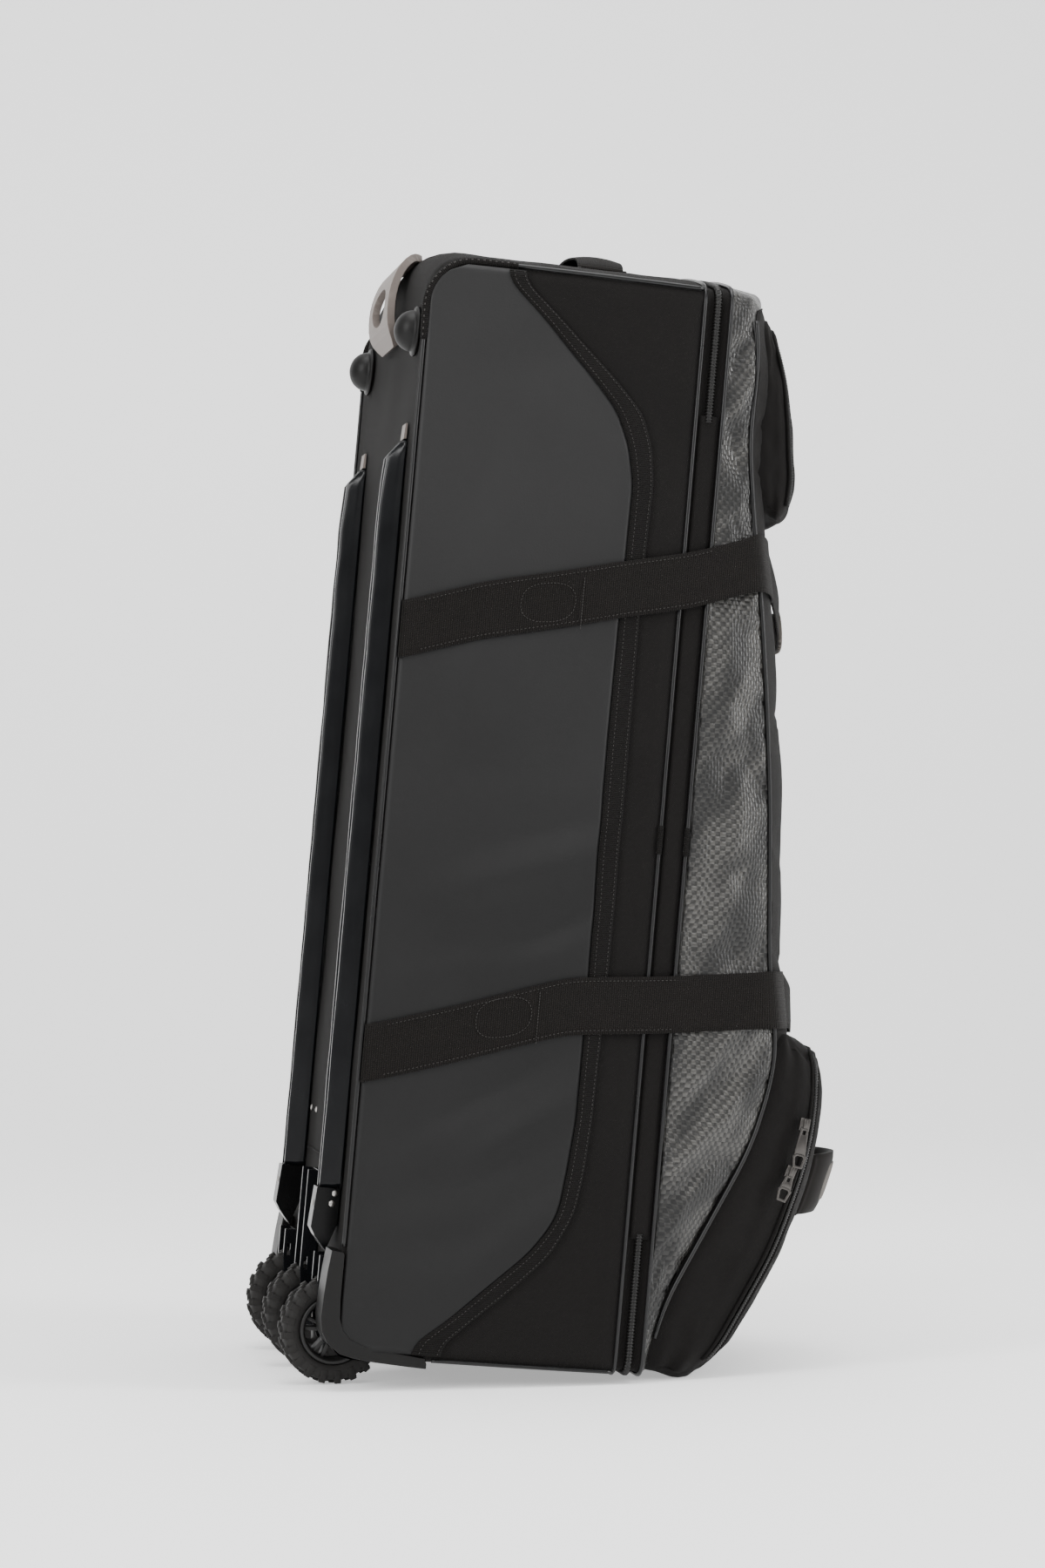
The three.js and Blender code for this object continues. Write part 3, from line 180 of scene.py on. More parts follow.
# %% [markdown]
# ## Studio
# A pale sweep is floor and backdrop in one: a flat sheet whose far end rises in a wide curve, so no
# horizon shows. Large soft lamps stand left and right of the bag and one hangs above it; the side lamps
# draw the long highlights along the beads and over the shiny lid.

# %% A bmesh becomes an object
def from_bmesh(name, bm):
    mesh = bpy.data.meshes.new(name)
    bm.to_mesh(mesh)
    bm.free()
    made = bpy.data.objects.new(name, mesh)
    bpy.context.scene.collection.objects.link(made)
    return made


# %% Floor and backdrop in one sweep
FLOOR_FRONT, FLOOR_BACK, SWEEP_RADIUS, SWEEP_WIDTH, WALL_RISE = -9, 2.6, 1.4, 16, 8
bm = bmesh.new()
bmesh.ops.create_grid(bm, x_segments=1, y_segments=40, size=0.5)
for v in bm.verts:
    share = v.co.y + 0.5
    floor_part = 0.35
    if share <= floor_part:
        y, z = mix(FLOOR_FRONT, FLOOR_BACK, share / floor_part), 0
    else:
        angle = min((share - floor_part) / 0.4, 1) * math.pi / 2
        y = FLOOR_BACK + SWEEP_RADIUS * math.sin(angle)
        z = SWEEP_RADIUS * (1 - math.cos(angle)) + max(share - 0.75, 0) / 0.25 * WALL_RISE
    v.co = (v.co.x * SWEEP_WIDTH, y, z)
studio_sweep = from_bmesh("studio_sweep", bm)
studio_sweep.data.shade_smooth()
print("studio sweep:", len(studio_sweep.data.polygons), "faces")

# %% Lamps
LAMPS = [
    # name, where it stands, what it looks at, width, height, watts
    ("key_left", (-3.2, -2.2, 2.2), (0, 0, 0.55), 1.2, 2.6, 125),
    ("fill_right", (3.2, -1.6, 1.6), (0, 0, 0.5), 1.0, 2.6, 120),
    ("top", (0.1, -0.4, 3.4), (0, 0, 0.4), 2.6, 2.2, 110),
    ("front", (-0.3, -4.6, 2.6), (0, 0, 0.6), 2.4, 1.6, 50),
]
for name, place, aim, width, height, watts in LAMPS:
    lamp = bpy.data.lights.new(name, "AREA")
    lamp.shape, lamp.size, lamp.size_y, lamp.energy = "RECTANGLE", width, height, watts
    holder = bpy.data.objects.new(name, lamp)
    holder.location = place
    holder.rotation_mode = "QUATERNION"
    holder.rotation_quaternion = (Vector(aim) - Vector(place)).to_track_quat("-Z", "Y")
    bpy.context.scene.collection.objects.link(holder)
print("lamps:", len(LAMPS))

# %% Air and paper
PAPER = {
    "Base Color": (0.93, 0.93, 0.93, 1), "Roughness": 0.9, "Specular IOR Level": 0.1,
    "Emission Color": (1, 1, 1, 1), "Emission Strength": 0.46,
}
AIR = {"Color": (0.93, 0.93, 0.93, 1), "Strength": 0.5}
world = bpy.data.worlds.new("studio_air")
paper = bpy.data.materials.new("studio_paper")
for made, shader, values in ((world, "Background", AIR), (paper, "Principled BSDF", PAPER)):
    made.use_nodes = True
    for socket, value in values.items():
        made.node_tree.nodes[shader].inputs[socket].default_value = value
studio_sweep.data.materials.append(paper)
bpy.context.scene.world = world
print("air and paper ready")

# %% [markdown]
# ## Writing finishes as sums
# A finish is a Principled shader with patterns wired into it. Wiring by hand is long, so a small class
# wraps one socket and lets it be added, multiplied and compared like a number; one method adds any node.

# %% A socket that can be used in sums
class Signal:
    """One output socket, with arithmetic."""

    def __init__(self, finish, socket):
        self.finish, self.socket = finish, socket

    def math(self, operation, *others):
        return self.finish.node("ShaderNodeMath", {"operation": operation}, [self, *others])

    def __add__(self, other): return self.math("ADD", other)
    def __radd__(self, other): return self.math("ADD", other)
    def __sub__(self, other): return self.math("SUBTRACT", other)
    def __rsub__(self, other): return self.finish.number(other).math("SUBTRACT", self)
    def __mul__(self, other): return self.math("MULTIPLY", other)
    def __rmul__(self, other): return self.math("MULTIPLY", other)
    def __truediv__(self, other): return self.math("DIVIDE", other)
    def wave(self, period): return (self * (2 * math.pi / period)).math("SINE")
    def saw(self, period): return (self / period).math("FRACT")
    def floor(self): return self.math("FLOOR")
    def size(self): return self.math("ABSOLUTE")
    def above(self, limit): return self.math("GREATER_THAN", limit)
    def ramp(self, low, high):
        """0 at low, 1 at high, smooth between."""
        return self.finish.node(
            "ShaderNodeMapRange", {"interpolation_type": "SMOOTHSTEP"},
            {0: self, 1: low, 2: high, 3: 0, 4: 1},
        )


# %% A finish and its nodes
class Finish:
    """A Principled material whose patterns are wired with Signals."""

    def __init__(self, name, colour, roughness, metallic=0, specular=0.5, sheen=0, coat=0):
        self.material = bpy.data.materials.new(name)
        self.material.use_nodes = True
        self.tree = self.material.node_tree
        self.shader = self.tree.nodes["Principled BSDF"]
        self.colour = colour
        for socket, value in {
            "Base Color": (*colour, 1), "Roughness": roughness, "Metallic": metallic,
            "Specular IOR Level": specular, "Sheen Weight": sheen, "Sheen Roughness": 0.4,
            "Coat Weight": coat, "Coat Roughness": 0.2,
        }.items():
            self.shader.inputs[socket].default_value = value

    def node(self, kind, settings=None, inputs=(), output=0):
        node = self.tree.nodes.new(kind)
        for key, value in (settings or {}).items():
            setattr(node, key, value)
        pairs = inputs.items() if isinstance(inputs, dict) else enumerate(inputs)
        for key, value in pairs:
            if isinstance(value, Signal):
                self.tree.links.new(value.socket, node.inputs[key])
            else:
                node.inputs[key].default_value = value
        return Signal(self, node.outputs[output])

    def number(self, value):
        return self.node("ShaderNodeMath", {"operation": "ADD"}, [value, 0.0])

    def straight(self):
        """x, y and z of the straight bag in millimetres."""
        place = self.node("ShaderNodeTexCoord", output="Object")
        rotation = STRAIGHT.to_3x3().normalized().to_euler()
        vector = self.node("ShaderNodeMapping", inputs={
            "Vector": place, "Scale": (1 / MM,) * 3, "Rotation": rotation,
            "Location": STRAIGHT.to_translation(),
        })
        return vector, [self.node("ShaderNodeSeparateXYZ", inputs=[vector], output=k) for k in range(3)]

    def laid_flat(self):
        """Length and width in millimetres along a piece that carries its own UV map."""
        place = self.node("ShaderNodeTexCoord", output="UV")
        return [self.node("ShaderNodeSeparateXYZ", inputs=[place], output=k) for k in range(2)]

    def noise(self, vector, size, detail=2.0, stretch=(1, 1, 1)):
        """Soft noise from 0 to 1 whose lumps are about size millimetres across."""
        scaled = self.node("ShaderNodeMapping", inputs={"Vector": vector, "Scale": stretch})
        return self.node(
            "ShaderNodeTexNoise", inputs={"Vector": scaled, "Scale": 1 / size, "Detail": detail},
        )

    def shades(self, factor, dark, light):
        """Colour between dark and light times the finish's own."""
        ends = [tuple(channel * k for channel in self.colour) + (1,) for k in (dark, light)]
        mixed = self.node(
            "ShaderNodeMix", {"data_type": "RGBA"}, {0: factor, 6: ends[0], 7: ends[1]}, output=2,
        )
        self.tree.links.new(mixed.socket, self.shader.inputs["Base Color"])

    def wire(self, socket, signal):
        self.tree.links.new(signal.socket, self.shader.inputs[socket])

    def relief(self, height, depth):
        """Raises the surface by height times depth millimetres."""
        bump = self.node(
            "ShaderNodeBump", inputs={"Height": height, "Strength": 1.0, "Distance": depth * MM},
        )
        self.wire("Normal", bump)


print("finish writer ready")

# %% [markdown]
# ## Cloth finishes
# The bag is all dark, so the cloths differ by how they shine. The plain cloth is a fine matt weave. The
# side panel is tarpaulin with a satin coating and hardly any weave, its colour painted lighter towards the
# top as light from above. The lid is a thin film embossed with a small checker that glints, with long
# slanted highlights painted into its colour. Webbing has fine ribs across it. Each pattern is a sum of waves.

# %% Plain woven cloth
def woven(name, colour, pitch=1.5):
    cloth = Finish(name, colour, 0.85, sheen=0.015, specular=0.12)
    vector, (x, y, z) = cloth.straight()
    across = x + y
    threads = across.wave(pitch) * z.wave(pitch)
    grain = cloth.noise(vector, 2.2, 4)
    clouds = cloth.noise(vector, 90, 2)
    cloth.shades(threads * 0.18 + grain * 0.5 + clouds * 0.55, 0.62, 1.4)
    cloth.relief(threads * 0.5 + grain, 0.25)
    return cloth.material


plain_cloth = woven("plain_cloth", (0.0056, 0.005, 0.0047))
gusset_cloth = woven("gusset_cloth", (0.0054, 0.0048, 0.0045))
print("woven:", plain_cloth.name, gusset_cloth.name)

# %% Coated tarpaulin
tarpaulin = Finish("tarpaulin", (0.0102, 0.0101, 0.0102), 0.5, specular=0.22)
vector, (x, y, z) = tarpaulin.straight()
clouds = tarpaulin.noise(vector, 160, 3, (1, 1, 0.7))
grain = tarpaulin.noise(vector, 1.6, 3)
scuffs = tarpaulin.noise(vector, 18, 5, (1, 1, 0.4))
# Painted light: the panel's colour grows lighter towards its top, as light falling from above.
upper = z.ramp(250, 900)
tarpaulin.shades(clouds * 0.4 + upper * 0.52 + grain * 0.08, 0.2, 1.6)
tarpaulin.wire("Roughness", 0.4 + clouds * 0.12 + scuffs * 0.08)
tarpaulin.relief(grain, 0.12)
coated_cloth = tarpaulin.material
print("coated:", coated_cloth.name)

# %% Embossed shiny cloth
CHECK_HIGH, CHECK_WIDE = 4.1, 3.7
embossed = Finish("embossed_film", (0.0056, 0.0054, 0.005), 0.3, specular=0.42)
vector, (x, y, z) = embossed.straight()
across = x + y
row = (z / CHECK_HIGH).floor()
column = (across / CHECK_WIDE).floor()
turned = ((row + column) / 2).math("FRACT").above(0.25)
in_row, in_column = z.saw(CHECK_HIGH) - 0.5, across.saw(CHECK_WIDE) - 0.5
dome = 1 - (in_row * in_row + in_column * in_column) * 2
ridge = in_column * turned - in_row * (1 - turned)
slant = embossed.node("ShaderNodeMapping", inputs={"Vector": vector, "Rotation": (0, -0.5, 0)})
# Painted highlights: long slanted streaks lighten the film's colour, most on the turned checks, and make it
# glossier there.
painted_highlights = embossed.noise(slant, 26, 2, (1, 1, 0.34)).ramp(0.4, 0.66)
embossed.shades(painted_highlights * 0.5 * (turned + 0.6) + turned * 0.2, 0.2, 10.5)
embossed.wire("Roughness", 0.46 - turned * 0.12 - painted_highlights * 0.12)
embossed.relief(dome * 0.8 + ridge * 0.7, 0.6)
embossed_cloth = embossed.material
print("embossed checks:", CHECK_HIGH, "by", CHECK_WIDE, "mm")


# %% Ribbed webbing and binding
def ribbed(name, colour, rib, roughness=0.72):
    tape = Finish(name, colour, roughness, sheen=0.015, specular=0.12)
    vector, _ = tape.straight()
    along, width = tape.laid_flat()
    ribs = along.wave(rib)
    weave = width.wave(rib * 0.9)
    worn = tape.noise(vector, 12, 4)
    tape.shades(ribs * 0.4 + weave * 0.1 + worn * 0.5, 0.4, 1.6)
    tape.relief(ribs + weave * 0.45, 0.35)
    return tape.material


webbing = ribbed("webbing", (0.0064, 0.0051, 0.0042), 2.1)
grip_cloth = ribbed("grip_cloth", (0.13, 0.118, 0.106), 3.0)
binding = ribbed("binding", (0.0052, 0.0044, 0.0038), 1.7)
print("ribbed:", webbing.name, binding.name)


# %% Moulded and metal finishes
def moulded(name, colour, roughness, grain=0.08, specular=0.5, metallic=0, coat=0, worn=0.35):
    part = Finish(name, colour, roughness, metallic, specular, coat=coat)
    vector, _ = part.straight()
    fine = part.noise(vector, 1.4, 3)
    broad = part.noise(vector, 35, 3)
    part.shades(broad * 0.6 + fine * 0.4, 1 - worn, 1 + worn)
    part.wire("Roughness", broad * 0.16 + (roughness - 0.08))
    part.relief(fine, grain)
    return part.material


bead_plastic = moulded("bead_plastic", (0.005, 0.005, 0.0052), 0.3, 0.0, 0.32)
dark_plastic = moulded("dark_plastic", (0.003, 0.0033, 0.004), 0.24, 0.03, 0.22)
matt_plastic = moulded("matt_plastic", (0.0045, 0.0043, 0.0041), 0.45, 0.04, 0.2)
grey_plastic = moulded("grey_plastic", (0.15, 0.128, 0.115), 0.5, 0.06, 0.3, worn=0.3)
wheel_plastic = moulded("wheel_plastic", (0.009, 0.0087, 0.0084), 0.45, 0.05, 0.3)
tread_rubber = moulded("tread_rubber", (0.012, 0.0112, 0.0105), 0.72, 0.12, 0.25)
plated_steel = moulded("plated_steel", (0.34, 0.325, 0.31), 0.3, 0.02, metallic=0.95, worn=0.2)
gun_metal = moulded("gun_metal", (0.075, 0.07, 0.066), 0.3, 0.0, metallic=0.9, worn=0.3)
zip_plastic = moulded("zip_plastic", (0.005, 0.0046, 0.0043), 0.4, 0.0, 0.3)
thread = moulded("thread", (0.022, 0.02, 0.0185), 0.5, 0.0, 0.3)
black_enamel = moulded("black_enamel", (0.002, 0.002, 0.0021), 0.25, 0.0, 0.16)
print("moulded and metal finishes: 11")

# %% [markdown]
# ## Skins
# Almost every cloth piece is a sheet that follows a rule: how far along, how far across. A grid of the
# right fineness is created flat, each of its points is sent to its place, and the grid's UV map keeps
# the lengths in millimetres, so ribs and stitches follow the cloth wherever it goes.

# %% Finished pieces
def finish_piece(name, bm, material, slot, replaces=(), body="bag", wall=0, facing=None):
    """Leans the straight millimetre shape into the row frame and hands it over as a finished object.

    A wall grows inwards. An open sheet says which way it faces, because it has no inside of its own.
    """
    bmesh.ops.remove_doubles(bm, verts=bm.verts, dist=0.01)
    bmesh.ops.recalc_face_normals(bm, faces=bm.faces)
    if facing is not None:
        mean = sum((f.normal * f.calc_area() for f in bm.faces), Vector())
        if mean.dot(Vector(facing)) < 0:
            bmesh.ops.reverse_faces(bm, faces=bm.faces)
    bmesh.ops.transform(bm, matrix=BAG, verts=bm.verts)
    piece = from_bmesh(name, bm)
    piece.data.materials.append(material)
    piece.data.shade_smooth()
    if wall:
        thick = piece.modifiers.new("wall", "SOLIDIFY")
        thick.thickness, thick.offset = wall * MM, -1
    if replaces:
        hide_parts(*replaces)
    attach(piece, body)
    return piece


def joined(bm, other):
    """One bmesh with the faces of both."""
    mesh = bpy.data.meshes.new("joined")
    other.to_mesh(mesh)
    other.free()
    bm.from_mesh(mesh)
    bpy.data.meshes.remove(mesh)
    return bm


def skin(columns, rows, place, length=1.0, width=1.0):
    """A grid whose points go where place(u, v) says; u and v run from 0 to 1."""
    bm = bmesh.new()
    uv = bm.loops.layers.uv.new("flat")
    bmesh.ops.create_grid(bm, x_segments=columns, y_segments=rows, size=0.5, calc_uvs=True)
    for face in bm.faces:
        for loop in face.loops:
            u, v = loop.vert.co.x + 0.5, loop.vert.co.y + 0.5
            loop[uv].uv = (u * length, v * width)
    for v in bm.verts:
        v.co = place(v.co.x + 0.5, v.co.y + 0.5)
    return bm


def at_share(points, share):
    """The point a share of the way along a list of points, by straight lines."""
    t = min(max(share, 0), 1) * (len(points) - 1)
    i = min(int(t), len(points) - 2)
    return points[i].lerp(points[i + 1], t - i)


def path_length(points):
    return sum((b - a).length for a, b in zip(points, points[1:]))


def evenly(points, step, count=None):
    """The same path with points every step millimetres or so, or count equal steps."""
    total = path_length(points)
    count = count or max(2, round(total / step))
    result, i, done = [points[0].copy()], 0, 0.0
    for k in range(1, count):
        goal = total * k / count
        while done + (points[i + 1] - points[i]).length < goal:
            done += (points[i + 1] - points[i]).length
            i += 1
        part = (points[i + 1] - points[i]).length
        result.append(points[i].lerp(points[i + 1], (goal - done) / part))
    result.append(points[-1].copy())
    return result


def rope(points, radius, sides=8, loop=False, step=6, swell=None):
    """A round bead along a path; swell(share) may change its radius."""
    path = evenly(points, step)
    count = len(path) - 1

    def place(u, v):
        i = min(round(u * count), count)
        if loop and i == count:
            i = 0
        before = path[i - 1] if i > 0 else (path[-2] if loop else path[0])
        after = path[i + 1] if i < count else path[-1]
        ahead = (after - before).normalized()
        side = ahead.cross(Vector((0.31, 0.52, 0.79))).normalized()
        up = side.cross(ahead)
        angle = 2 * math.pi * v
        r = radius * (swell(u) if swell else 1)
        return path[i] + side * (math.cos(angle) * r) + up * (math.sin(angle) * r)

    bm = skin(count, sides, place, path_length(path), 2 * math.pi * radius)
    bmesh.ops.remove_doubles(bm, verts=bm.verts, dist=0.01)
    bmesh.ops.holes_fill(bm, edges=[e for e in bm.edges if e.is_boundary], sides=sides)
    return bm


print("skin, rope and piece helpers ready")

# %% [markdown]
# ## Hard pieces that keep their solid
# Forks, axles, end plates, rail tips and the haul handle already have their true shape. They keep their
# solid and get a finish; a weld and a narrow bevel soften the edges, as on a moulded or stamped piece.

# %% Finishes and bevels for the solids that stay
KEPT = [
    # finish, nodes, width of the bevel
    (dark_plastic, ["fork_left", "fork_middle", "fork_right"], 0.6),
    (grey_plastic, ["rail_tip_left", "rail_tip_right"], 0.5),
    (grey_plastic, ["haul_handle"], 1.2),
    (plated_steel, ["axle_left", "axle_middle", "axle_right"], 0.5),
    (black_enamel, ["end_plate_left", "end_plate_right"], 0.5),
]


def round_edges(piece, width):
    """A weld and a narrow bevel on the sharp edges of a hard piece."""
    weld = piece.modifiers.new("weld", "WELD")
    weld.merge_threshold = 0.02 * MM
    rounding = piece.modifiers.new("soft_edges", "BEVEL")
    rounding.width = width * MM
    rounding.segments = 2
    rounding.limit_method = "ANGLE"
    rounding.angle_limit = math.radians(40)
    rounding.harden_normals = True


for material, names, bevel_width in KEPT:
    for name in names:
        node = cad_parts[name]
        node.data.materials.clear()
        node.data.materials.append(material)
        round_edges(node, bevel_width)
print("kept solids:", sum(len(row[1]) for row in KEPT))

# %% [markdown]
# ## Folds
# A full bag's sides are nearly flat, with long soft dents that run slantwise. Each dent is one row of a
# table: where it is, which way it runs, how long, wide and deep. The same dents move the cloth, the
# panel, the binding and the straps on it, so nothing pokes through.

# %% Dents of the bag's side and of the lid's side
SIDE_FOLDS = [
    # x, z, direction in degrees, half length, half width, depth
    (150, 470, 14, 75, 15, 1.3), (125, 428, 20, 90, 17, -2.0), (160, 382, 30, 70, 14, 1.6),
    (95, 345, 16, 65, 15, -1.4), (105, 232, 30, 70, 12, 1.5), (140, 203, 36, 70, 14, -2.0),
    (85, 160, 24, 80, 19, 1.5), (150, 118, 40, 60, 14, -1.2), (70, 100, 10, 60, 18, 1.0),
    (110, 655, 10, 90, 20, -1.4), (60, 760, 75, 90, 18, -1.3), (150, 815, -24, 70, 20, 1.3),
    (110, 880, 20, 70, 22, -1.2), (60, 560, 82, 90, 16, 1.2), (205, 620, 88, 130, 14, -1.0),
    (215, 250, 86, 110, 12, -1.1), (95, 520, 5, 80, 20, 1.0),
]
LID_FOLDS = [
    # share of the lid's depth, z, direction in degrees, half length, half width, depth
    (0.30, 905, 62, 34, 8, -3.2), (0.62, 868, 66, 32, 7, 2.4), (0.45, 820, 105, 38, 9, -3.0),
    (0.70, 775, 80, 40, 8, 2.2), (0.35, 735, 96, 46, 9, 2.4), (0.62, 690, 84, 40, 9, -2.6),
    (0.42, 610, 88, 60, 11, 3.0), (0.72, 560, 95, 55, 9, -2.4), (0.35, 505, 84, 60, 11, -1.8),
    (0.55, 450, 90, 60, 11, 2.6), (0.25, 400, 70, 40, 9, -2.4), (0.60, 372, 98, 34, 8, -2.2),
    (0.45, 288, 58, 46, 7, 3.0), (0.62, 262, 56, 46, 6, -3.0), (0.34, 245, 60, 44, 7, -2.6),
    (0.52, 222, 52, 44, 6, 2.8), (0.24, 190, 66, 40, 7, 2.6), (0.44, 172, 58, 36, 6, -2.8),
    (0.30, 130, 70, 34, 6, 2.2), (0.20, 95, 74, 30, 6, -2.2),
]


def fold_depth(dx, dz, direction, length, width, depth):
    """Depth of one fold dx, dz from its middle, outwards positive."""
    angle = math.radians(direction)
    along = dx * math.cos(angle) + dz * math.sin(angle)
    across = dz * math.cos(angle) - dx * math.sin(angle)
    return depth * math.exp(-((along / length) ** 2) - (across / width) ** 2)


def side_dents(x, z):
    return sum(fold_depth(x - fold_x, z - fold_z, *shape) for fold_x, fold_z, *shape in SIDE_FOLDS)


def lid_dents(x, z, depth):
    return sum(fold_depth(x - share * depth, z - fold_z, *shape) for share, fold_z, *shape in LID_FOLDS)


def side_give(x, z, hand):
    """How far the side moves out at x, z; seams hold it at the edges."""
    hold = smooth_step(x / 28) * smooth_step((TUB - x) / 22)
    hold *= smooth_step((z - 6) / 40) * smooth_step((HEIGHT - 8 - z) / 40)
    slow = noise.noise(Vector((x * 0.012, z * 0.008, 3.1 * hand))) * 1.6
    return hold * (1.7 * side_dents(x, z + 9 * (hand + 1)) + slow)


def side_point(x, z, off, hand):
    return Vector((x, hand * (side_at(x) + off + side_give(x, z, hand)), z))


print("dents:", len(SIDE_FOLDS) + len(LID_FOLDS))

# %% [markdown]
# ## Tub
# The tub is a deep tray of cloth, rounded to its back panel, with its mouth towards the lid. A cube is
# sliced into a fine grid, and every point is sent to its place on the rounded tray. A drum cut out of the
# bottom of the back gives the well for the wheels. The mouth is opened, and a wall gives it thickness.

# %% A cube sliced into a grid
def block(counts, place, mark_front=False):
    """A cube sliced into counts cells, its points sent to place(a, b, c), shares from 0 to 1.

    mark_front gives the cells of its front another material number, by which they are found again.
    """
    bm = bmesh.new()
    bmesh.ops.create_cube(bm, size=1)
    for axis, count in enumerate(counts):
        along = [
            e for e in bm.edges
            if abs((e.verts[0].co - e.verts[1].co)[axis]) > 1e-6
        ]
        bmesh.ops.subdivide_edges(bm, edges=along, cuts=count - 1, use_grid_fill=True)
    for face in bm.faces:
        face.material_index = int(mark_front and face.calc_center_median().x > 0.499)
    for v in bm.verts:
        v.co = place(*(v.co + Vector((0.5, 0.5, 0.5))))
    return bm


def crowded(t, amount=0.75):
    """0 to 1 again, with the steps closer together near both ends."""
    return t - amount * math.sin(2 * math.pi * t) / (2 * math.pi)


def rounded(y, z, half, low, high, radius):
    """Pulls a point of a rectangle into its round corners."""
    mid, reach = (low + high) / 2, (high - low) / 2
    dy, dz = abs(y) - (half - radius), abs(z - mid) - (reach - radius)
    if dy > 0 and dz > 0 and math.hypot(dy, dz) > radius:
        k = radius / math.hypot(dy, dz)
        y = math.copysign(half - radius + dy * k, y)
        z = mid + math.copysign(reach - radius + dz * k, z - mid)
    return y, z


def roll_off(depth, radius):
    """How far a wall has turned in when it is depth from the end of its rounding."""
    rest = radius - min(max(depth, 0), radius)
    return radius - math.sqrt(max(radius * radius - rest * rest, 0))


def tub_place(a, b, c):
    x = TUB * a ** 1.5
    y, z = (2 * crowded(b) - 1) * side_at(x), crowded(c, 0.85) * HEIGHT
    on_side = b in (0, 1)
    y, z = rounded(y, z, side_at(x), 0, HEIGHT, CORNER)
    z += crown(y, TOP_CROWN) * c ** 8
    give = side_give(x, z, 1 if y > 0 else -1) if on_side else 0
    y += give if y > 0 else -give
    y *= 1 - roll_off(x, 6) / HALF
    low, high = roll_off(x, 12), HEIGHT - roll_off(x, 33)
    z = mix(low, high, z / HEIGHT)
    hold = smooth_step(min(z, HEIGHT - z) / 60) * smooth_step((HALF - abs(y)) / 40)
    if a == 0:
        x += hold * (noise.noise(Vector((y * 0.014, z * 0.01, 8.0))) * 2.2 + 1.2)
    if c == 1:
        z += 1.2 * noise.noise(Vector((x * 0.03, y * 0.02, 5.0)))
    return Vector((x, y, z))


def settled(made):
    """A bmesh of the object with its modifiers applied; the object is removed."""
    graph = bpy.context.evaluated_depsgraph_get()
    graph.update()
    bm = bmesh.new()
    bm.from_mesh(made.evaluated_get(graph).to_mesh())
    old = made.data
    bpy.data.objects.remove(made)
    bpy.data.meshes.remove(old)
    return bm


# %% Tub with its wheel well
WELL_RADIUS, WELL_WIDTH = 53, 300
bm = block((24, 44, 140), tub_place)
bmesh.ops.remove_doubles(bm, verts=bm.verts, dist=0.01)
bmesh.ops.recalc_face_normals(bm, faces=bm.faces)
tub_form = from_bmesh("tub_form", bm)
bm = bmesh.new()
bmesh.ops.create_cone(
    bm, cap_ends=True, segments=64, radius1=WELL_RADIUS, radius2=WELL_RADIUS, depth=WELL_WIDTH,
    matrix=Matrix.Translation(AXLE) @ Matrix.Rotation(math.pi / 2, 4, "X"),
)
well_cutter = from_bmesh("well_cutter", bm)
cutting = tub_form.modifiers.new("wheel_well", "BOOLEAN")
cutting.operation, cutting.solver, cutting.object = "DIFFERENCE", "EXACT", well_cutter
bm = settled(tub_form)
bpy.data.objects.remove(well_cutter)
mouth = [f for f in bm.faces if f.calc_center_median().x > TUB - 0.5]
bmesh.ops.delete(bm, geom=mouth, context="FACES")
tub_cloth = finish_piece("tub_cloth", bm, plain_cloth, "woven_cloth", ["main_tub"], wall=2.2)
print("tub:", len(tub_cloth.data.polygons), "faces")

# %% [markdown]
# ## Side panel
# A satin tarpaulin panel covers most of each side. Its back edge runs up beside the piping, turns with
# the bag's round top corner, and its front edge is hidden under a wide ribbed binding that swings in
# towards both ends.

# %% Coated panels
PANEL_LOW, PANEL_HIGH = 7, HEIGHT - 6
BACK_MARGIN, TOP_ROUND, BASE_ROUND = 2.5, 36, 14


def panel_back(z):
    """Back edge of the panel: straight, and turning in with the bag's corners."""
    return BACK_MARGIN + roll_off(PANEL_HIGH + 0.5 - z, TOP_ROUND) + roll_off(z - PANEL_LOW, BASE_ROUND)


def panel_place(hand, off):
    def place(u, v):
        z = mix(PANEL_LOW, PANEL_HIGH, v)
        x = mix(panel_back(z), panel_edge(z, 1), u)
        return side_point(x, z, off, hand)
    return place


for side, hand in SIDES.items():
    bm = skin(36, 150, panel_place(hand, 1.9), TUB, HEIGHT)
    panel = finish_piece(
        f"coated_panel_{side}", bm, coated_cloth, "coated_cloth", [f"side_panel_{side}"],
        wall=0.9, facing=(0, hand, 0),
    )
print("coated panels:", len(SIDES))


# %% Binding along the panel
def binding_place(hand, off):
    def place(u, v):
        z = mix(PANEL_LOW, PANEL_HIGH, u)
        lift = 0.5 * math.sin(math.pi * v)
        return side_point(mix(panel_edge(z, 1) - 1.2, panel_edge(z, 2), v), z, off + lift, hand)
    return place


for side, hand in SIDES.items():
    bm = skin(150, 6, binding_place(hand, 2.9), HEIGHT, 17)
    band = finish_piece(
        f"binding_band_{side}", bm, binding, "binding", [f"panel_binding_{side}"], wall=1.2,
        facing=(0, hand, 0),
    )
print("bindings:", len(SIDES))

# %% [markdown]
# ## Webbing straps
# Two straps of 50 mm webbing run round each side, from the back edge to the front of the lid, and carry
# the bag. A strap is a list of rows across it: on the tub they follow the dented side, then they cross
# the gusset, go round the lid's edge and end on its front.

# %% Rows of a strap
STRAP_END, LID_ROUND, LID_DRAFT = 80, 10, 6
STRAPS = {
    "upper": [(0.0, 0.63), (0.22, 0.655), (0.46, 0.674), (0.62, 0.688), (0.8, 0.702), (1.0, 0.726)],
    "lower": [(0.0, 0.246), (0.2, 0.269), (0.46, 0.302), (0.5, 0.3055), (0.7, 0.312), (1.0, 0.326)],
}


def soften(points, times):
    for _ in range(times):
        points = [points[0]] + [
            (a + b * 2 + c) / 4 for a, b, c in zip(points, points[1:], points[2:])
        ] + [points[-1]]
    return points


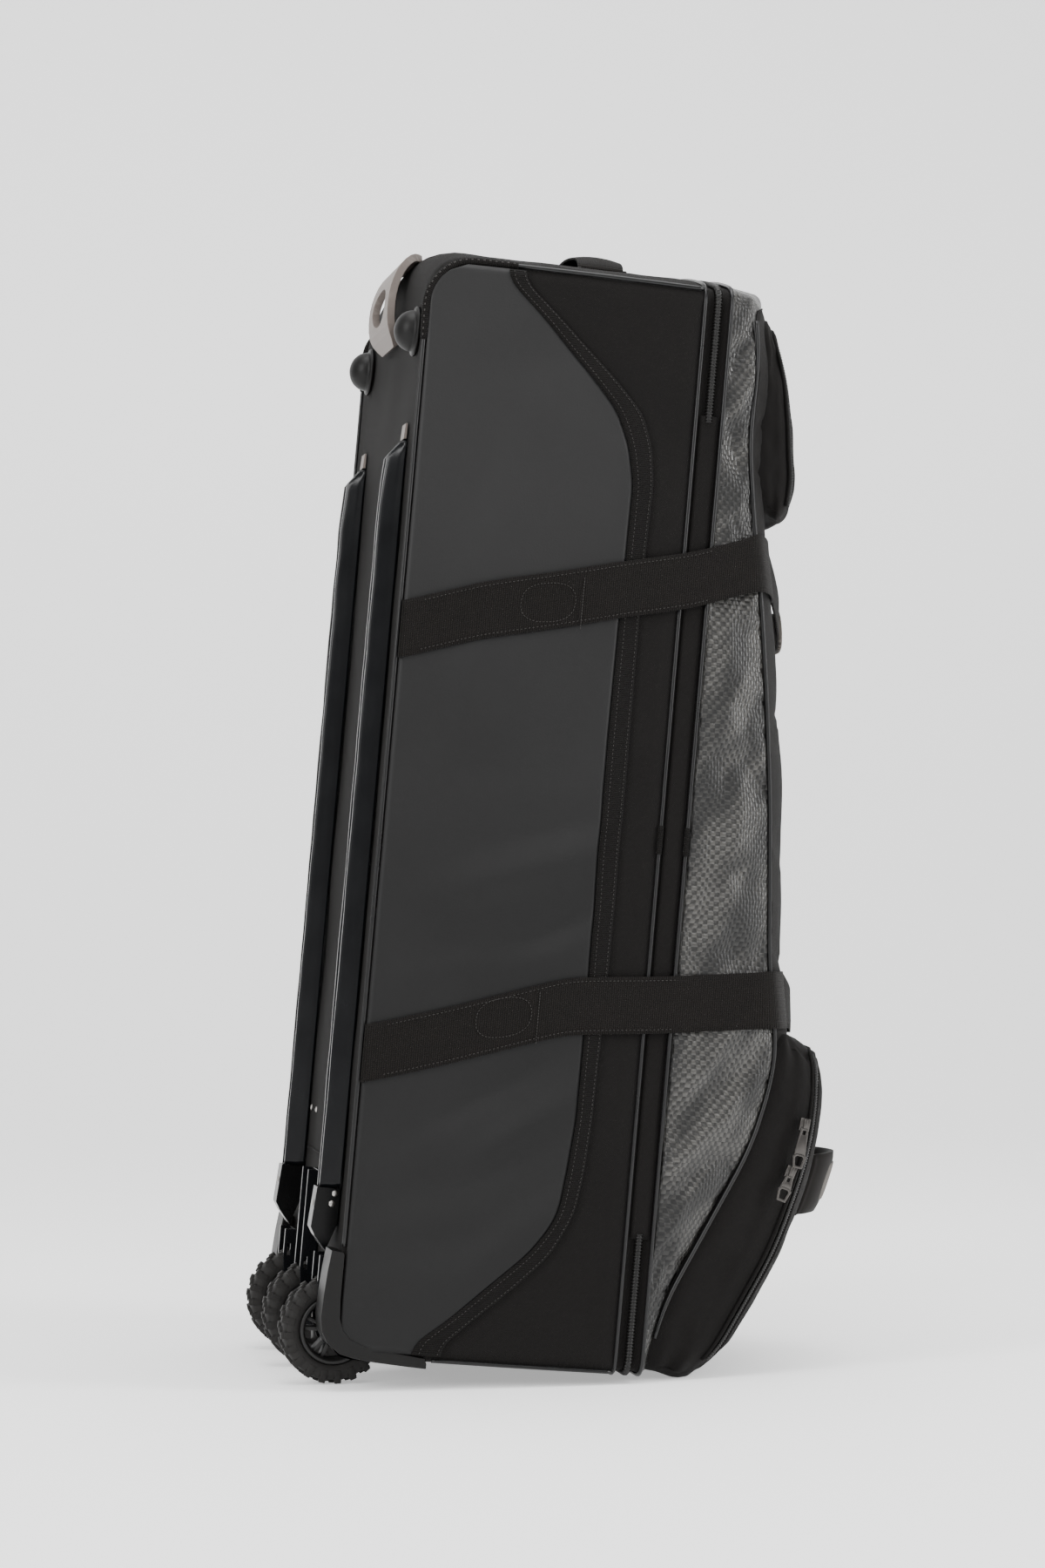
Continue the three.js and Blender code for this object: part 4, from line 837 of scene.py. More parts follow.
def strap_edge(line, hand, w, off):
    """One lengthwise line of the strap, w from 0 at its lower edge to 1 at its upper edge."""
    front_z = line[-1][1] * HEIGHT + w * TAPE
    reach = lid_edge(line[-1][1] * HEIGHT + TAPE / 2)
    over_panel = 3.4
    points = []
    x = 1
    while x < reach - LID_ROUND:
        z = look_up_soft(line, x / reach, 1, 0.03) * HEIGHT + w * TAPE
        if x < TUB - 4:
            y = side_at(x) + side_give(x, z, hand) + off + over_panel
        elif x < RIM + 3:
            y = side_at(TUB) + off + over_panel
        else:
            past = (x - RIM) / (reach - RIM)
            y = mix(side_at(TUB) + over_panel, HALF + 2.2, smooth_step(past * 2.2)) + off
        points.append(Vector((x, hand * y, z)))
        x += 6
    front = lid_edge(front_z)
    for angle in (0.25, 0.5, 0.75, 1):
        a = angle * math.pi / 2
        y = HALF + 2.2 - LID_ROUND + LID_ROUND * math.cos(a) + off * math.cos(a)
        x = front - LID_ROUND + (LID_ROUND + 3 + off) * math.sin(a)
        points.append(Vector((x, hand * y, front_z)))
    for step in range(1, 12):
        y = mix(HALF - LID_ROUND, STRAP_END + 0.3, step / 11)
        points.append(Vector((lid_front(y, front_z) + 1.6 + off, hand * y, front_z)))
    return soften(points, 3)


def strap_skin(line, hand, off):
    edges = [strap_edge(line, hand, k / 4, off) for k in range(5)]
    length = path_length(edges[2])
    return skin(90, 8, lambda u, v: at_share([at_share(e, u) for e in edges], v), length, TAPE)


for level, line in STRAPS.items():
    for side, hand in SIDES.items():
        bm = strap_skin(line, hand, 1.4)
        strap = finish_piece(
            f"{level}_webbing_{side}", bm, webbing, "webbing", [f"{level}_strap_{side}"],
            wall=1.8, facing=(0.4, hand, 0),
        )
print("straps:", 2 * len(STRAPS))


# %% [markdown]
# ## Zip gusset
# Between tub and lid runs a narrow gusset, held between two glossy beads. The zip's coil shows over the
# top and round the bottom corners; along the sides a plain cover hides it. Everything here follows one
# closed path round the bag, drawn at any depth and any height above the cloth.

# %% The path round the bag
GUSSET_RECESS = 2.5


def ring(x, grow, count=420):
    """Closed path round the bag at depth x, grow millimetres outside the gusset's cloth."""
    half = side_at(TUB) - GUSSET_RECESS + grow
    radius = CORNER - GUSSET_RECESS + grow
    low, high = GUSSET_RECESS - grow, HEIGHT - GUSSET_RECESS + grow
    flat = half - radius
    right = [Vector((x, flat * k / 8, low)) for k in range(8)]
    right += [
        Vector((x, flat + radius * math.sin(a), low + radius * (1 - math.cos(a))))
        for a in [math.radians(15 * k) for k in range(7)]
    ]
    right += [
        Vector((x, flat + radius * math.cos(a), high - radius * (1 - math.sin(a))))
        for a in [math.radians(15 * k) for k in range(7)]
    ]
    right += [Vector((x, flat * (1 - k / 12), high)) for k in range(1, 13)]
    for p in right:
        p.z += crown(p.y, TOP_CROWN) * smooth_step((p.z - HEIGHT + 2 * CORNER) / CORNER)
    left = [Vector((p.x, -p.y, p.z)) for p in reversed(right[1:-1])]
    return evenly(right + left + [right[0].copy()], 1, count)


def band_round(stations, count=420):
    """A closed band round the bag through (depth, height above the cloth) stations."""
    rings = [ring(x, grow, count) for x, grow in stations]
    width = len(stations) - 1
    return skin(
        count, width, lambda u, v: rings[round(v * width)][round(u * count)].copy(), 2600, RIM - TUB,
    )


# %% Gusset cloth
GUSSET_STATIONS = [
    (TUB - 1, 1.5), (TUB + 1, 0.4), (TUB + 4, 0), (TUB + 8, -0.9), (TUB + 12.5, -1.2),
    (TUB + 17, -0.9), (TUB + 21, 0), (RIM - 1, 0.4), (RIM + 1, 1.5),
]
bm = band_round(GUSSET_STATIONS)
gusset = finish_piece("gusset_cloth", bm, gusset_cloth, "woven_cloth", ["zip_gusset"], wall=1.6)
print("gusset:", len(gusset.data.polygons), "faces")

# %% Plain covers over the zip along the sides
COVER_LOW, COVER_HIGH = 119, 843
for side, hand in SIDES.items():
    def cover_place(u, v):
        z = mix(COVER_LOW, COVER_HIGH, u)
        wobble = 1.2 * noise.noise(Vector((z * 0.01, 2.0, hand)))
        lift = 1.4 + 0.5 * math.sin(math.pi * v) + 0.5 * noise.noise(Vector((z * 0.02, v, 4.0 * hand)))
        out = side_at(TUB) - GUSSET_RECESS + lift
        return Vector((mix(TUB + 4.5, RIM - 3.4 + wobble, v), hand * out, z))
    bm = skin(140, 6, cover_place, COVER_HIGH - COVER_LOW, 18)
    cover = finish_piece(
        f"zip_cover_{side}", bm, gusset_cloth, "woven_cloth", wall=0.9, facing=(0, hand, 0),
    )
print("zip covers:", len(SIDES))


# %% Zip coils
def coil(points, radius, tooth):
    """A moulded coil: a rope that swells once for every tooth."""
    total = path_length(points)
    beats = round(total / tooth)
    return rope(
        points, radius, sides=8, step=tooth / 4,
        swell=lambda u: 1 + 0.24 * math.cos(2 * math.pi * u * beats),
    )


COIL_RADIUS, TOOTH = 3.2, 2.8
zip_path = ring(TUB + 12.5, 0.2)
top_part = [p for p in zip_path if p.z > COVER_HIGH - 6]
half_way = len(zip_path) // 2
bottom_part = [p for p in zip_path[half_way:] if p.z < COVER_LOW + 6]
bottom_part += [p for p in zip_path[1:half_way] if p.z < COVER_LOW + 6]
bm = joined(coil(top_part, COIL_RADIUS, TOOTH), coil(bottom_part, COIL_RADIUS, TOOTH))
zip_coil = finish_piece("zip_coil", bm, zip_plastic, "zip", ["main_zip"])
print("zip coil:", len(zip_coil.data.polygons), "faces")

# %% [markdown]
# ## Glossy beads
# Piping is a cord inside a folded strip. It is a rope with a round section, wherever two cloths meet:
# both edges of the gusset, the seam round the side panel, and the front edge of the lid's side.

# %% Beads of the gusset
for name, x in {"rear": TUB + 0.5, "front": RIM - 0.5}.items():
    bm = rope(ring(x, BEAD + 0.5), BEAD, step=6)
    finish_piece(f"gusset_bead_{name}", bm, bead_plastic, "piping", [f"gusset_piping_{name}"])
    for side, hand in SIDES.items():
        joint = [p for p in ring(x, BEAD + 0.5) if 450 < p.z < 486 and p.y * hand > 0]
        bm = rope(joint, BEAD + 0.7, step=4)
        finish_piece(f"bead_joint_{name}_{side}", bm, binding, "binding")
print("gusset beads: 2, joints: 4")


# %% Beads of the side seam
def seam_path(hand):
    """Up the back edge from the guard, round the top corner and forward to the gusset."""
    off = BEAD + 0.8
    points = []
    for k in range(60):
        z = mix(95, HEIGHT - 47, k / 59)
        points.append(Vector((1.6 - off * 0.7 + roll_off(z - 8, 12), hand * (HALF - 1.6 + off * 0.7), z)))
    diagonal = math.sqrt(0.5)
    for k in range(1, 16):
        a = math.radians(90 * k / 15)
        x, rise = 33 * (1 - math.cos(a)), 33 * math.sin(a)
        down = CORNER * (1 - diagonal) * k / 15
        y = side_at(x) - down + off * diagonal * k / 15 + (1 - k / 15) * (off * 0.7 - 1.6)
        z = HEIGHT - 33 - CORNER * (1 - k / 15) + rise - down + off * diagonal * k / 15
        points.append(Vector((x - off * 0.7 * (1 - k / 15), hand * y, z)))
    down = CORNER * (1 - diagonal)
    for k in range(1, 30):
        x = mix(33, TUB - 1, k / 29)
        y = side_at(x) - down + off * diagonal
        points.append(Vector((x, hand * y, HEIGHT - down + off * diagonal + crown(y, TOP_CROWN) * 0.5)))
    return soften(points, 4)


def base_path(hand):
    """Forward along the bottom seam, from the guard to the gusset."""
    down = CORNER * (1 - math.sqrt(0.5)) - (BEAD + 0.8) * math.sqrt(0.5)
    return [
        Vector((x, hand * (side_at(x) - down), down)) for x in [mix(84, TUB - 1, k / 20) for k in range(21)]
    ]


for side, hand in SIDES.items():
    bm = rope(seam_path(hand), BEAD)
    finish_piece(f"side_bead_{side}", bm, bead_plastic, "piping", [f"side_piping_{side}"])
    bm = rope(base_path(hand), BEAD * 0.9)
    finish_piece(f"base_bead_{side}", bm, bead_plastic, "piping")
print("side beads: 4")

# %% Wrapped corner of the side seam
WRAP_LOW, WRAP_END, WRAP_RADIUS = 876, 78, 3.4


def wrap_path(hand, off=0):
    """The part of the side seam round the top corner of the back, off millimetres outwards."""
    away = Vector((-0.5, hand, 0.5)).normalized()
    return [p + away * off for p in seam_path(hand) if p.z > WRAP_LOW and p.x < WRAP_END]


for side, hand in SIDES.items():
    bm = rope(wrap_path(hand), WRAP_RADIUS, sides=12, step=3, swell=lambda u: 1 - 0.25 * (2 * u - 1) ** 12)
    finish_piece(f"corner_wrap_{side}", bm, binding, "binding")
print("wrapped corners: 2")

# %% [markdown]
# ## Lid
# The lid is a shallow tray of shiny embossed film over foam. It is thin near the top, deep at its belly
# and runs out to nothing at the foot. The sliced cube is sent to the tray's shape and dented by the
# table. Then a cloth simulation blows it up a little from inside while its seams are held, which rounds
# the dents and pulls small tensions along the seams, as in a stuffed lid.


# %% Blowing up a held cloth
def blown_up(bm, held, pressure, cap, slack=0.0, frames=20):
    """Runs a short cloth simulation on a straight shape in millimetres and gives back a bmesh.

    held(co) says which points stay; cap is how far any point may move.
    """
    bmesh.ops.remove_doubles(bm, verts=bm.verts, dist=0.01)
    bmesh.ops.recalc_face_normals(bm, faces=bm.faces)
    start = [v.co.copy() for v in bm.verts]
    pinned = [i for i, co in enumerate(start) if held(co)]
    bmesh.ops.scale(bm, vec=(MM,) * 3, verts=bm.verts)
    cloth_form = from_bmesh("cloth_form", bm)
    group = cloth_form.vertex_groups.new(name="held")
    group.add(pinned, 1.0, "REPLACE")
    cloth = cloth_form.modifiers.new("cloth", "CLOTH")
    cloth.settings.quality = 5
    cloth.settings.mass = 0.3
    cloth.settings.tension_stiffness = 20
    cloth.settings.compression_stiffness = 20
    cloth.settings.bending_stiffness = 0.6
    cloth.settings.use_pressure = True
    cloth.settings.uniform_pressure_force = pressure
    cloth.settings.shrink_min = -slack
    cloth.settings.vertex_group_mass = "held"
    cloth.settings.effector_weights.gravity = 0
    cloth.collision_settings.use_self_collision = False
    cloth.point_cache.frame_end = frames
    for frame_number in range(1, frames + 1):
        bpy.context.scene.frame_set(frame_number)
    moved = settled(cloth_form)
    bpy.context.scene.frame_set(1)
    moved.verts.ensure_lookup_table()
    for v, old in zip(moved.verts, start):
        shift = v.co / MM - old
        if shift.length > cap:
            shift *= cap / shift.length
        v.co = old + shift
    return moved


# %% Lid form
def lid_place(a, b, c):
    share = 1 - (1 - a) ** 1.5
    y, z = (2 * crowded(b, 0.8) - 1) * HALF, crowded(c, 0.7) * HEIGHT
    on_side = b in (0, 1)
    y, z = rounded(y, z, HALF, 0, HEIGHT, CORNER)
    z += crown(y, TOP_CROWN) * c ** 8
    depth = lid_edge(z) - RIM + crown(y, FRONT_CROWN)
    radius = min(LID_ROUND, depth * 0.45)
    inward = roll_off(depth * (1 - share), radius) + LID_DRAFT * share
    if on_side:
        hand = 1 if y > 0 else -1
        room = smooth_step(min(share, 1 - share) / 0.2)
        room *= smooth_step(z / 60) * smooth_step((HEIGHT - z) / 30)
        slow = 1.2 * noise.noise(Vector((share * depth * 0.05, z * 0.02, 6.0 * hand)))
        inward -= room * (1.4 * lid_dents(share * depth, z + 7 * (hand + 1), depth) + slow)
    y *= 1 - inward / HALF
    z = mix(inward, HEIGHT - inward, z / HEIGHT)
    x = RIM + depth * share
    if a == 1:
        calm = smooth_step((HALF - abs(y)) / 60) * smooth_step(min(z, HEIGHT - z) / 60)
        x += calm * 3 * noise.noise(Vector((y * 0.012, z * 0.012, 9.0)))
    return Vector((x, y, z))


def lid_held(co):
    near_rim = co.x < RIM + 1.5
    edge = lid_edge(co.z)
    on_bead = abs(co.x - edge) < 5 and abs(co.y) > HALF - LID_DRAFT - 7
    return near_rim or on_bead or co.z > HEIGHT - 3 or co.z < 4


def rim_of(sheet):
    """The corners of an open sheet's edge, in order."""
    edge = next(e for e in sheet.edges if e.is_boundary)
    walked = list(edge.verts)
    while walked[-1] is not walked[0]:
        last, before = walked[-1], walked[-2]
        ahead = [e.other_vert(last) for e in last.link_edges if e.is_boundary]
        walked.append(next(v for v in ahead if v is not before))
    return [v.co.copy() for v in walked]


bm = block((20, 44, 170), lid_place, mark_front=True)
bmesh.ops.remove_doubles(bm, verts=bm.verts, dist=0.01)
bmesh.ops.delete(bm, geom=[f for f in bm.faces if f.calc_center_median().x < RIM + 0.01], context="FACES")
bm = blown_up(bm, lid_held, pressure=2.5, cap=4, slack=0.01)
front = bm.copy()
for part, unwanted in ((front, 0), (bm, 1)):
    bmesh.ops.delete(part, geom=[f for f in part.faces if f.material_index == unwanted], context="FACES")
    for face in part.faces:
        face.material_index = 0
front_rim = rim_of(front)
lid_cloth = finish_piece("lid_cloth", bm, embossed_cloth, "embossed_cloth", ["lid"], wall=2.0)
lid_front_cloth = finish_piece(
    "lid_front_cloth", front, plain_cloth, "woven_cloth", wall=2.0, facing=(1, 0, 0),
)
print("lid:", len(lid_cloth.data.polygons), "and", len(lid_front_cloth.data.polygons), "faces")

# %% Seam between the two cloths of the lid
bm = rope(front_rim, 1.0)
finish_piece("lid_front_seam", bm, binding, "binding")
print("seam:", round(path_length(front_rim)), "mm")


# %% Beads of the lid
def lid_bead_path(hand):
    points = []
    for k in range(120):
        z = mix(0.035, 0.975, k / 119) * HEIGHT
        depth = lid_edge(z) - RIM
        radius = min(LID_ROUND, depth * 0.45)
        off = BEAD * 0.8
        points.append(Vector((
            RIM + depth - radius * 0.3 + off * 0.7, hand * (HALF - LID_DRAFT - radius * 0.3 + off), z,
        )))
    return soften(points, 3)


for side, hand in SIDES.items():
    bm = rope(lid_bead_path(hand), BEAD)
    finish_piece(f"lid_bead_{side}", bm, bead_plastic, "piping", [f"lid_piping_{side}"])
print("lid beads: 2")


# %% [markdown]
# ## Pockets
# Two pockets stand off the lid's front, each with a zip in its wall. The lower one is a big bellows whose
# flat foot stands on the floor. Its plain cloth sides hang in upright pleats. Each pocket is a sliced
# cube again, sent out from the lid by a profile, and blown up a little with its seams held.

# %% Pocket shapes
POCKETS = {
    "upper": {
        "foot": HEIGHT * 0.8, "height": HEIGHT * 0.189, "half": 130, "rise": 30, "taper": 8, "corner": 24,
        "profile": [
            (0, 0.45), (0.06, 0.72), (0.22, 0.97), (0.45, 0.85), (0.65, 0.58), (0.87, 0.2), (1, 0.1),
        ],
    },
    "lower": {
        "foot": 0, "height": HEIGHT * 0.32, "half": 175, "rise": 66, "taper": 12, "corner": 30,
        "profile": [
            (0, 0.5), (0.08, 0.86), (0.21, 0.98), (0.37, 1.0), (0.5, 0.89), (0.69, 0.7), (0.8, 0.6),
            (0.91, 0.48), (1, 0.28),
        ],
    },
}
WALL_STEPS = [
    # share of the rise, how far in, how much the foot lifts
    (-0.06, 0, 1), (0.12, 0, 0.8), (0.72, 0.6, 0), (0.93, 1.25, 0.25), (1, 2.3, 1.2),
]


def above_floor(x, z):
    """z, or the height at which the floor cuts through the straight bag at x."""
    return max(z, (x * math.sin(LEAN) - corner_now.z / MM) / math.cos(LEAN) + 0.3)


def pocket_point(pocket, share, y, z):
    up = (z - pocket["foot"]) / pocket["height"]
    rise = pocket["rise"] * look_up_soft(pocket["profile"], up, 1, 0.03)
    return Vector((lid_front(y, z) + 1.2 + rise * share, y, z))


def pocket_place(pocket, pleats):
    def place(a, b, c):
        step = 1 - (1 - a) ** 1.4
        share = mix(-0.06, 1, step)
        inward = pocket["taper"] * look_up_soft(WALL_STEPS, share, 1, 0.05)
        foot = pocket["foot"] - (6 if pocket["foot"] == 0 else 0) + 8 * look_up(WALL_STEPS, share, 2)
        half = pocket["half"] - inward
        low, high = foot, pocket["foot"] + pocket["height"] - inward
        y, z = (2 * crowded(b, 0.8) - 1) * half, mix(low, high, crowded(c, 0.7))
        y, z = rounded(y, z, half, low, high, pocket["corner"])
        if b in (0, 1) and pleats:
            room = smooth_step(min(share, 0.9 - share) / 0.25)
            fold = math.sin(share * 13 + 1.4 * noise.noise(Vector((z * 0.01, 3, 0)))) * pleats
            fold += pleats * 0.8 * noise.noise(Vector((share * 4, z * 0.016, 7)))
            y += room * (fold - pleats * 0.5) * (1 if y > 0 else -1)
        point = pocket_point(pocket, share, y, z)
        if a == 1:
            calm = smooth_step((half - abs(y)) / 40) * smooth_step(min(z - low, high - z) / 40)
            point.x += calm * 2.4 * noise.noise(Vector((y * 0.02, z * 0.02, 11)))
        if a == 0:
            point.x -= 7
        point.z = above_floor(point.x, point.z)
        return point
    return place


def pocket_held(pocket):
    def held(co):
        rise = co.x - lid_front(co.y, co.z)
        at_floor = co.z < above_floor(co.x, 0) + 2.5
        seam = abs(co.y) > pocket["half"] - pocket["taper"] * 2.4 and rise > pocket["rise"] * 0.5
        return rise < 3 or at_floor or seam
    return held


# %% Pocket cloth
GRIDS = {"upper": (12, 34, 30), "lower": (18, 44, 48)}
for level, pocket in POCKETS.items():
    bm = block(GRIDS[level], pocket_place(pocket, 1.8 if level == "lower" else 0.8))
    bm = blown_up(bm, pocket_held(pocket), pressure=2.0, cap=3, slack=0.012)
    for v in bm.verts:
        v.co.z = above_floor(v.co.x, v.co.z)
    cloth = finish_piece(
        f"{level}_pocket_cloth", bm, plain_cloth, "woven_cloth", [f"{level}_pocket"],
    )
    smoother = cloth.modifiers.new("round", "SUBSURF")
    smoother.levels = smoother.render_levels = 1
    print(level, "pocket:", len(cloth.data.polygons), "faces")


# %% Pocket zips, with a lip of cloth on each side
def wall_line(pocket, a, out, low=0.16):
    """Up one side wall, over the top and down the other, at one depth and a little outside."""
    place = pocket_place(pocket, 0)
    stops = [(0, mix(low, 1, k / 40)) for k in range(40)]
    stops += [(k / 40, 1) for k in range(41)]
    stops += [(1, mix(1, low, k / 40)) for k in range(1, 41)]
    points = [place(a, b, c) for b, c in stops]
    centre = Vector((0, 0, pocket["foot"] + pocket["height"] * 0.4))
    moved = []
    for p in points:
        away = Vector((0, p.y, max(p.z - centre.z, 0)))
        moved.append(p + away.normalized() * out + Vector((out * 0.3, 0, 0)))
    return soften(moved, 4)


for level, pocket in POCKETS.items():
    bm = coil(wall_line(pocket, 0.85, 1.2), 2.1, 2.4)
    finish_piece(f"{level}_pocket_coil", bm, zip_plastic, "zip", [f"{level}_pocket_zip"])
    for name, depth in {"inner": 0.77, "outer": 0.92}.items():
        bm = rope(wall_line(pocket, depth, 1.2), 1.7, sides=6)
        finish_piece(f"{level}_pocket_{name}_lip", bm, plain_cloth, "woven_cloth")
print("pocket zips:", len(POCKETS))


# %% Zip pulls
def windowed(bm, outer, inner, y, thick):
    """A flat plate in x and z with a window; both outlines have the same number of points."""
    layers = [
        [[bm.verts.new((x, depth, z)) for x, z in outline] for outline in (outer, inner)]
        for depth in (y, y + thick)
    ]
    (front_out, front_in), (back_out, back_in) = layers
    for a, b in ((front_out, front_in), (back_out, back_in), (front_out, back_out), (front_in, back_in)):
        for k in range(len(a)):
            bm.faces.new((a[k - 1], a[k], b[k], b[k - 1]))


def zip_pull(length):
    """A slider with a bridge, and a flat pull with a small window at its top and a framed one at its foot."""
    bm = bmesh.new()
    bmesh.ops.create_cube(bm, size=1, matrix=Matrix.Diagonal((9, 5, 11, 1)))
    bmesh.ops.translate(bm, vec=(0, 0, length / 2 + 3), verts=bm.verts)
    bridge = bmesh.ops.create_cube(bm, size=1, matrix=Matrix.Diagonal((3, 3, 10, 1)))["verts"]
    bmesh.ops.translate(bm, vec=(0, -3.4, length / 2 + 3), verts=bridge)
    top, foot = length / 2, -length / 2
    neck = foot + 13
    if top - neck > 8:
        windowed(
            bm, [(-3.2, top), (3.2, top), (5.2, neck - 1), (-5.2, neck - 1)],
            [(-1.5, top - 2), (1.5, top - 2), (1.6, top - 6), (-1.6, top - 6)], -5.2, 1.8,
        )
    frame_outer = [
        (-4, neck), (4, neck), (6.2, neck - 2.5), (4.2, foot), (-4.2, foot), (-6.2, neck - 2.5),
    ]
    frame_inner = [(x * 0.62, foot + 6.5 + (z - foot - 6.5) * 0.66) for x, z in frame_outer]
    windowed(bm, frame_outer, frame_inner, -5.6, 2.2)
    bmesh.ops.recalc_face_normals(bm, faces=bm.faces)
    bmesh.ops.bevel(
        bm, geom=bm.edges[:], offset=0.35, segments=2, profile=0.5, affect="EDGES", material=-1,
        clamp_overlap=True,
    )
    return bm


PULLS = {"zip_pull_long": 36, "zip_pull_short": 24}
for name, length in PULLS.items():
    centre = STRAIGHT @ middle(name)
    bm = zip_pull(length)
    lean = 0.12 if length > 30 else 0.3
    bmesh.ops.rotate(bm, cent=(0, 0, 0), matrix=Matrix.Rotation(lean, 3, "Y"), verts=bm.verts)
    bmesh.ops.translate(bm, vec=centre + Vector((9, -1.2, -5)), verts=bm.verts)
    finish_piece(f"{name}_metal", bm, gun_metal, "pull_metal", [name])
print("zip pulls:", len(PULLS))

# %% [markdown]
# ## Cloth handles
# The top handle is a bowed band of webbing. The carry straps leave the lid's front as soft loops. The
# grab handle on the lower pocket is a thick padded wrap with a light rubber strip let into it.


# %% Carry loops, top handle and grab handle
def bow(share, power=0.8):
    return max(math.cos(share * math.pi / 2), 0) ** power


CARRY = {"upper": (46, 0.35), "lower": (14, 0.3)}
for level, (sag, pinch) in CARRY.items():
    base_z = STRAPS[level][-1][1] * HEIGHT

    def loop_place(u, v):
        share = 2 * u - 1
        lift = bow(share)
        y = share * STRAP_END
        twist = 3 * math.sin(u * math.pi * 2) * (v - 0.5)
        z = base_z + TAPE * (0.5 + (v - 0.5) * (1 - pinch * lift)) - sag * lift
        base = max(lid_front(y, z), lid_front(y, z + sag * lift * 0.5))
        return Vector((base + 3.2 + 14 * lift + twist, y, z))

    bm = skin(60, 8, loop_place, 175, TAPE)
    loop = finish_piece(
        f"{level}_loop_webbing", bm, webbing, "webbing", [f"{level}_carry_loop"],
        wall=1.8, facing=(1, 0, 0),
    )


# %% Grip sleeve round the upper carry loop
def sleeve_place(u, v):
    share = mix(-0.34, 0.34, u)
    lift = bow(share)
    y = share * STRAP_END
    angle = 2 * math.pi * v
    end = 1 - 0.35 * (2 * u - 1) ** 8
    sag = CARRY["upper"][0]
    z = STRAPS["upper"][-1][1] * HEIGHT + TAPE / 2 - sag * lift + 19 * end * math.cos(angle)
    base = max(lid_front(y, z), lid_front(y, z + sag * lift * 0.5))
    across = math.copysign(abs(math.sin(angle)) ** 0.7, math.sin(angle))
    return Vector((base + 3.2 + 14 * lift + 3.6 * end * across, y, z))


bm = skin(24, 20, sleeve_place, 54, 84)
bmesh.ops.remove_doubles(bm, verts=bm.verts, dist=0.01)
bmesh.ops.holes_fill(bm, edges=[e for e in bm.edges if e.is_boundary], sides=0)
sleeve = finish_piece("carry_grip_sleeve", bm, grip_cloth, "webbing")


# %% Top handle
def top_place(u, v):
    share = 2 * u - 1
    lift = 0 if abs(share) > 0.8 else bow(share / 0.8, 0.6)
    y = share * 80
    x = 153 + v * 42 + 2.5 * math.sin(math.pi * 2 * u) * lift
    return Vector((x, y, HEIGHT + crown(y, TOP_CROWN) + 2.6 + 17 * lift - 3 * lift * (2 * v - 1) ** 2))


bm = skin(50, 8, top_place, 190, 42)
top_loop = finish_piece(
    "top_handle_webbing", bm, webbing, "webbing", ["top_handle"], wall=2.0, facing=(0, 0, 1),
)


# %% Grab handle
def grab_shape(low, high, thick, lift_by, span, flat=0.85):
    pocket = POCKETS["lower"]

    def place(a, b, c):
        share = 2 * b - 1
        lift = 0 if abs(share) > flat else bow(share / flat, 0.6)
        z = mix(low, high, c)
        round_off = 1 - 0.5 * (2 * abs(c - 0.5)) ** 4
        point = pocket_point(pocket, 1, share * span / 2, z)
        away = Vector((1, 0, 0.1)).normalized()
        return point + away * (lift_by * lift + 1.2 + thick * (0.5 + (a - 0.5) * round_off))
    return place


bm = block((4, 44, 10), grab_shape(141, 197, 9, 28, 150))
grab = finish_piece("grab_handle_wrap", bm, webbing, "webbing", ["grab_handle"])
bm = block((2, 30, 8), grab_shape(152, 186, 3, 36.2, 104, flat=1.25))
grip = finish_piece("grab_handle_grip", bm, grip_cloth, "webbing")
print("cloth handles: 4")


# %% [markdown]
# ## Skid rails and feet
# Two long plastic rails protect the back. A rail is a ridge with sloping sides and a shallow groove along
# its crest, a few small holes in the groove, and a taper at the top. The domed feet near the top are
# turned shapes, so a profile is spun round its axis.

# %% Skid rails
RAIL_LOW, RAIL_HIGH, RAIL_Y, RAIL_RISE = 141, 800, 126, 18
RAIL_SECTION = [
    # across from the middle, share of the rise
    (-14, 0.0), (-13.2, 0.3), (-9.5, 0.9), (-8.6, 1.0), (-5, 1.0), (-4, 0.86),
    (4, 0.86), (5, 1.0), (8.6, 1.0), (9.5, 0.9), (13.2, 0.3), (14, 0.0),
]


def rail_place(hand):
    def place(u, v):
        z = mix(RAIL_LOW, RAIL_HIGH, u)
        k = v * (len(RAIL_SECTION) - 1)
        i = min(int(k), len(RAIL_SECTION) - 2)
        across, rise = (mix(RAIL_SECTION[i][n], RAIL_SECTION[i + 1][n], k - i) for n in (0, 1))
        slope = min((RAIL_HIGH - z) / 20, 1) * 0.85 + 0.15
        wave = 0.5 * noise.noise(Vector((z * 0.03, across * 0.05, hand)))
        slope = min(slope, 0.82 + 0.18 * min((RAIL_HIGH - z) / 60, 1))
        return Vector((-0.4 - RAIL_RISE * rise * slope - wave * rise, hand * RAIL_Y + across, z))
    return place


RAIL_HOLES = (250, 430, 610)
for side, hand in SIDES.items():
    bm = skin(150, 44, rail_place(hand), RAIL_HIGH - RAIL_LOW, 30)
    ends = [e for e in bm.edges if e.is_boundary]
    bmesh.ops.holes_fill(bm, edges=ends, sides=0)
    finish_piece(f"rail_{side}", bm, dark_plastic, "moulded_plastic", [f"skid_rail_{side}"])
    bm = bmesh.new()
    for z in RAIL_HOLES:
        for height in (z, z + 14):
            in_groove = Matrix.Translation((-16.8, hand * RAIL_Y, height))
            bmesh.ops.create_cone(
                bm, cap_ends=True, segments=14, radius1=2.1, radius2=1.5, depth=1.6,
                matrix=in_groove @ Matrix.Rotation(math.pi / 2, 4, "Y"),
            )
    finish_piece(f"rail_studs_{side}", bm, matt_plastic, "moulded_plastic")
print("rails: 2, studs:", 4 * len(RAIL_HOLES))


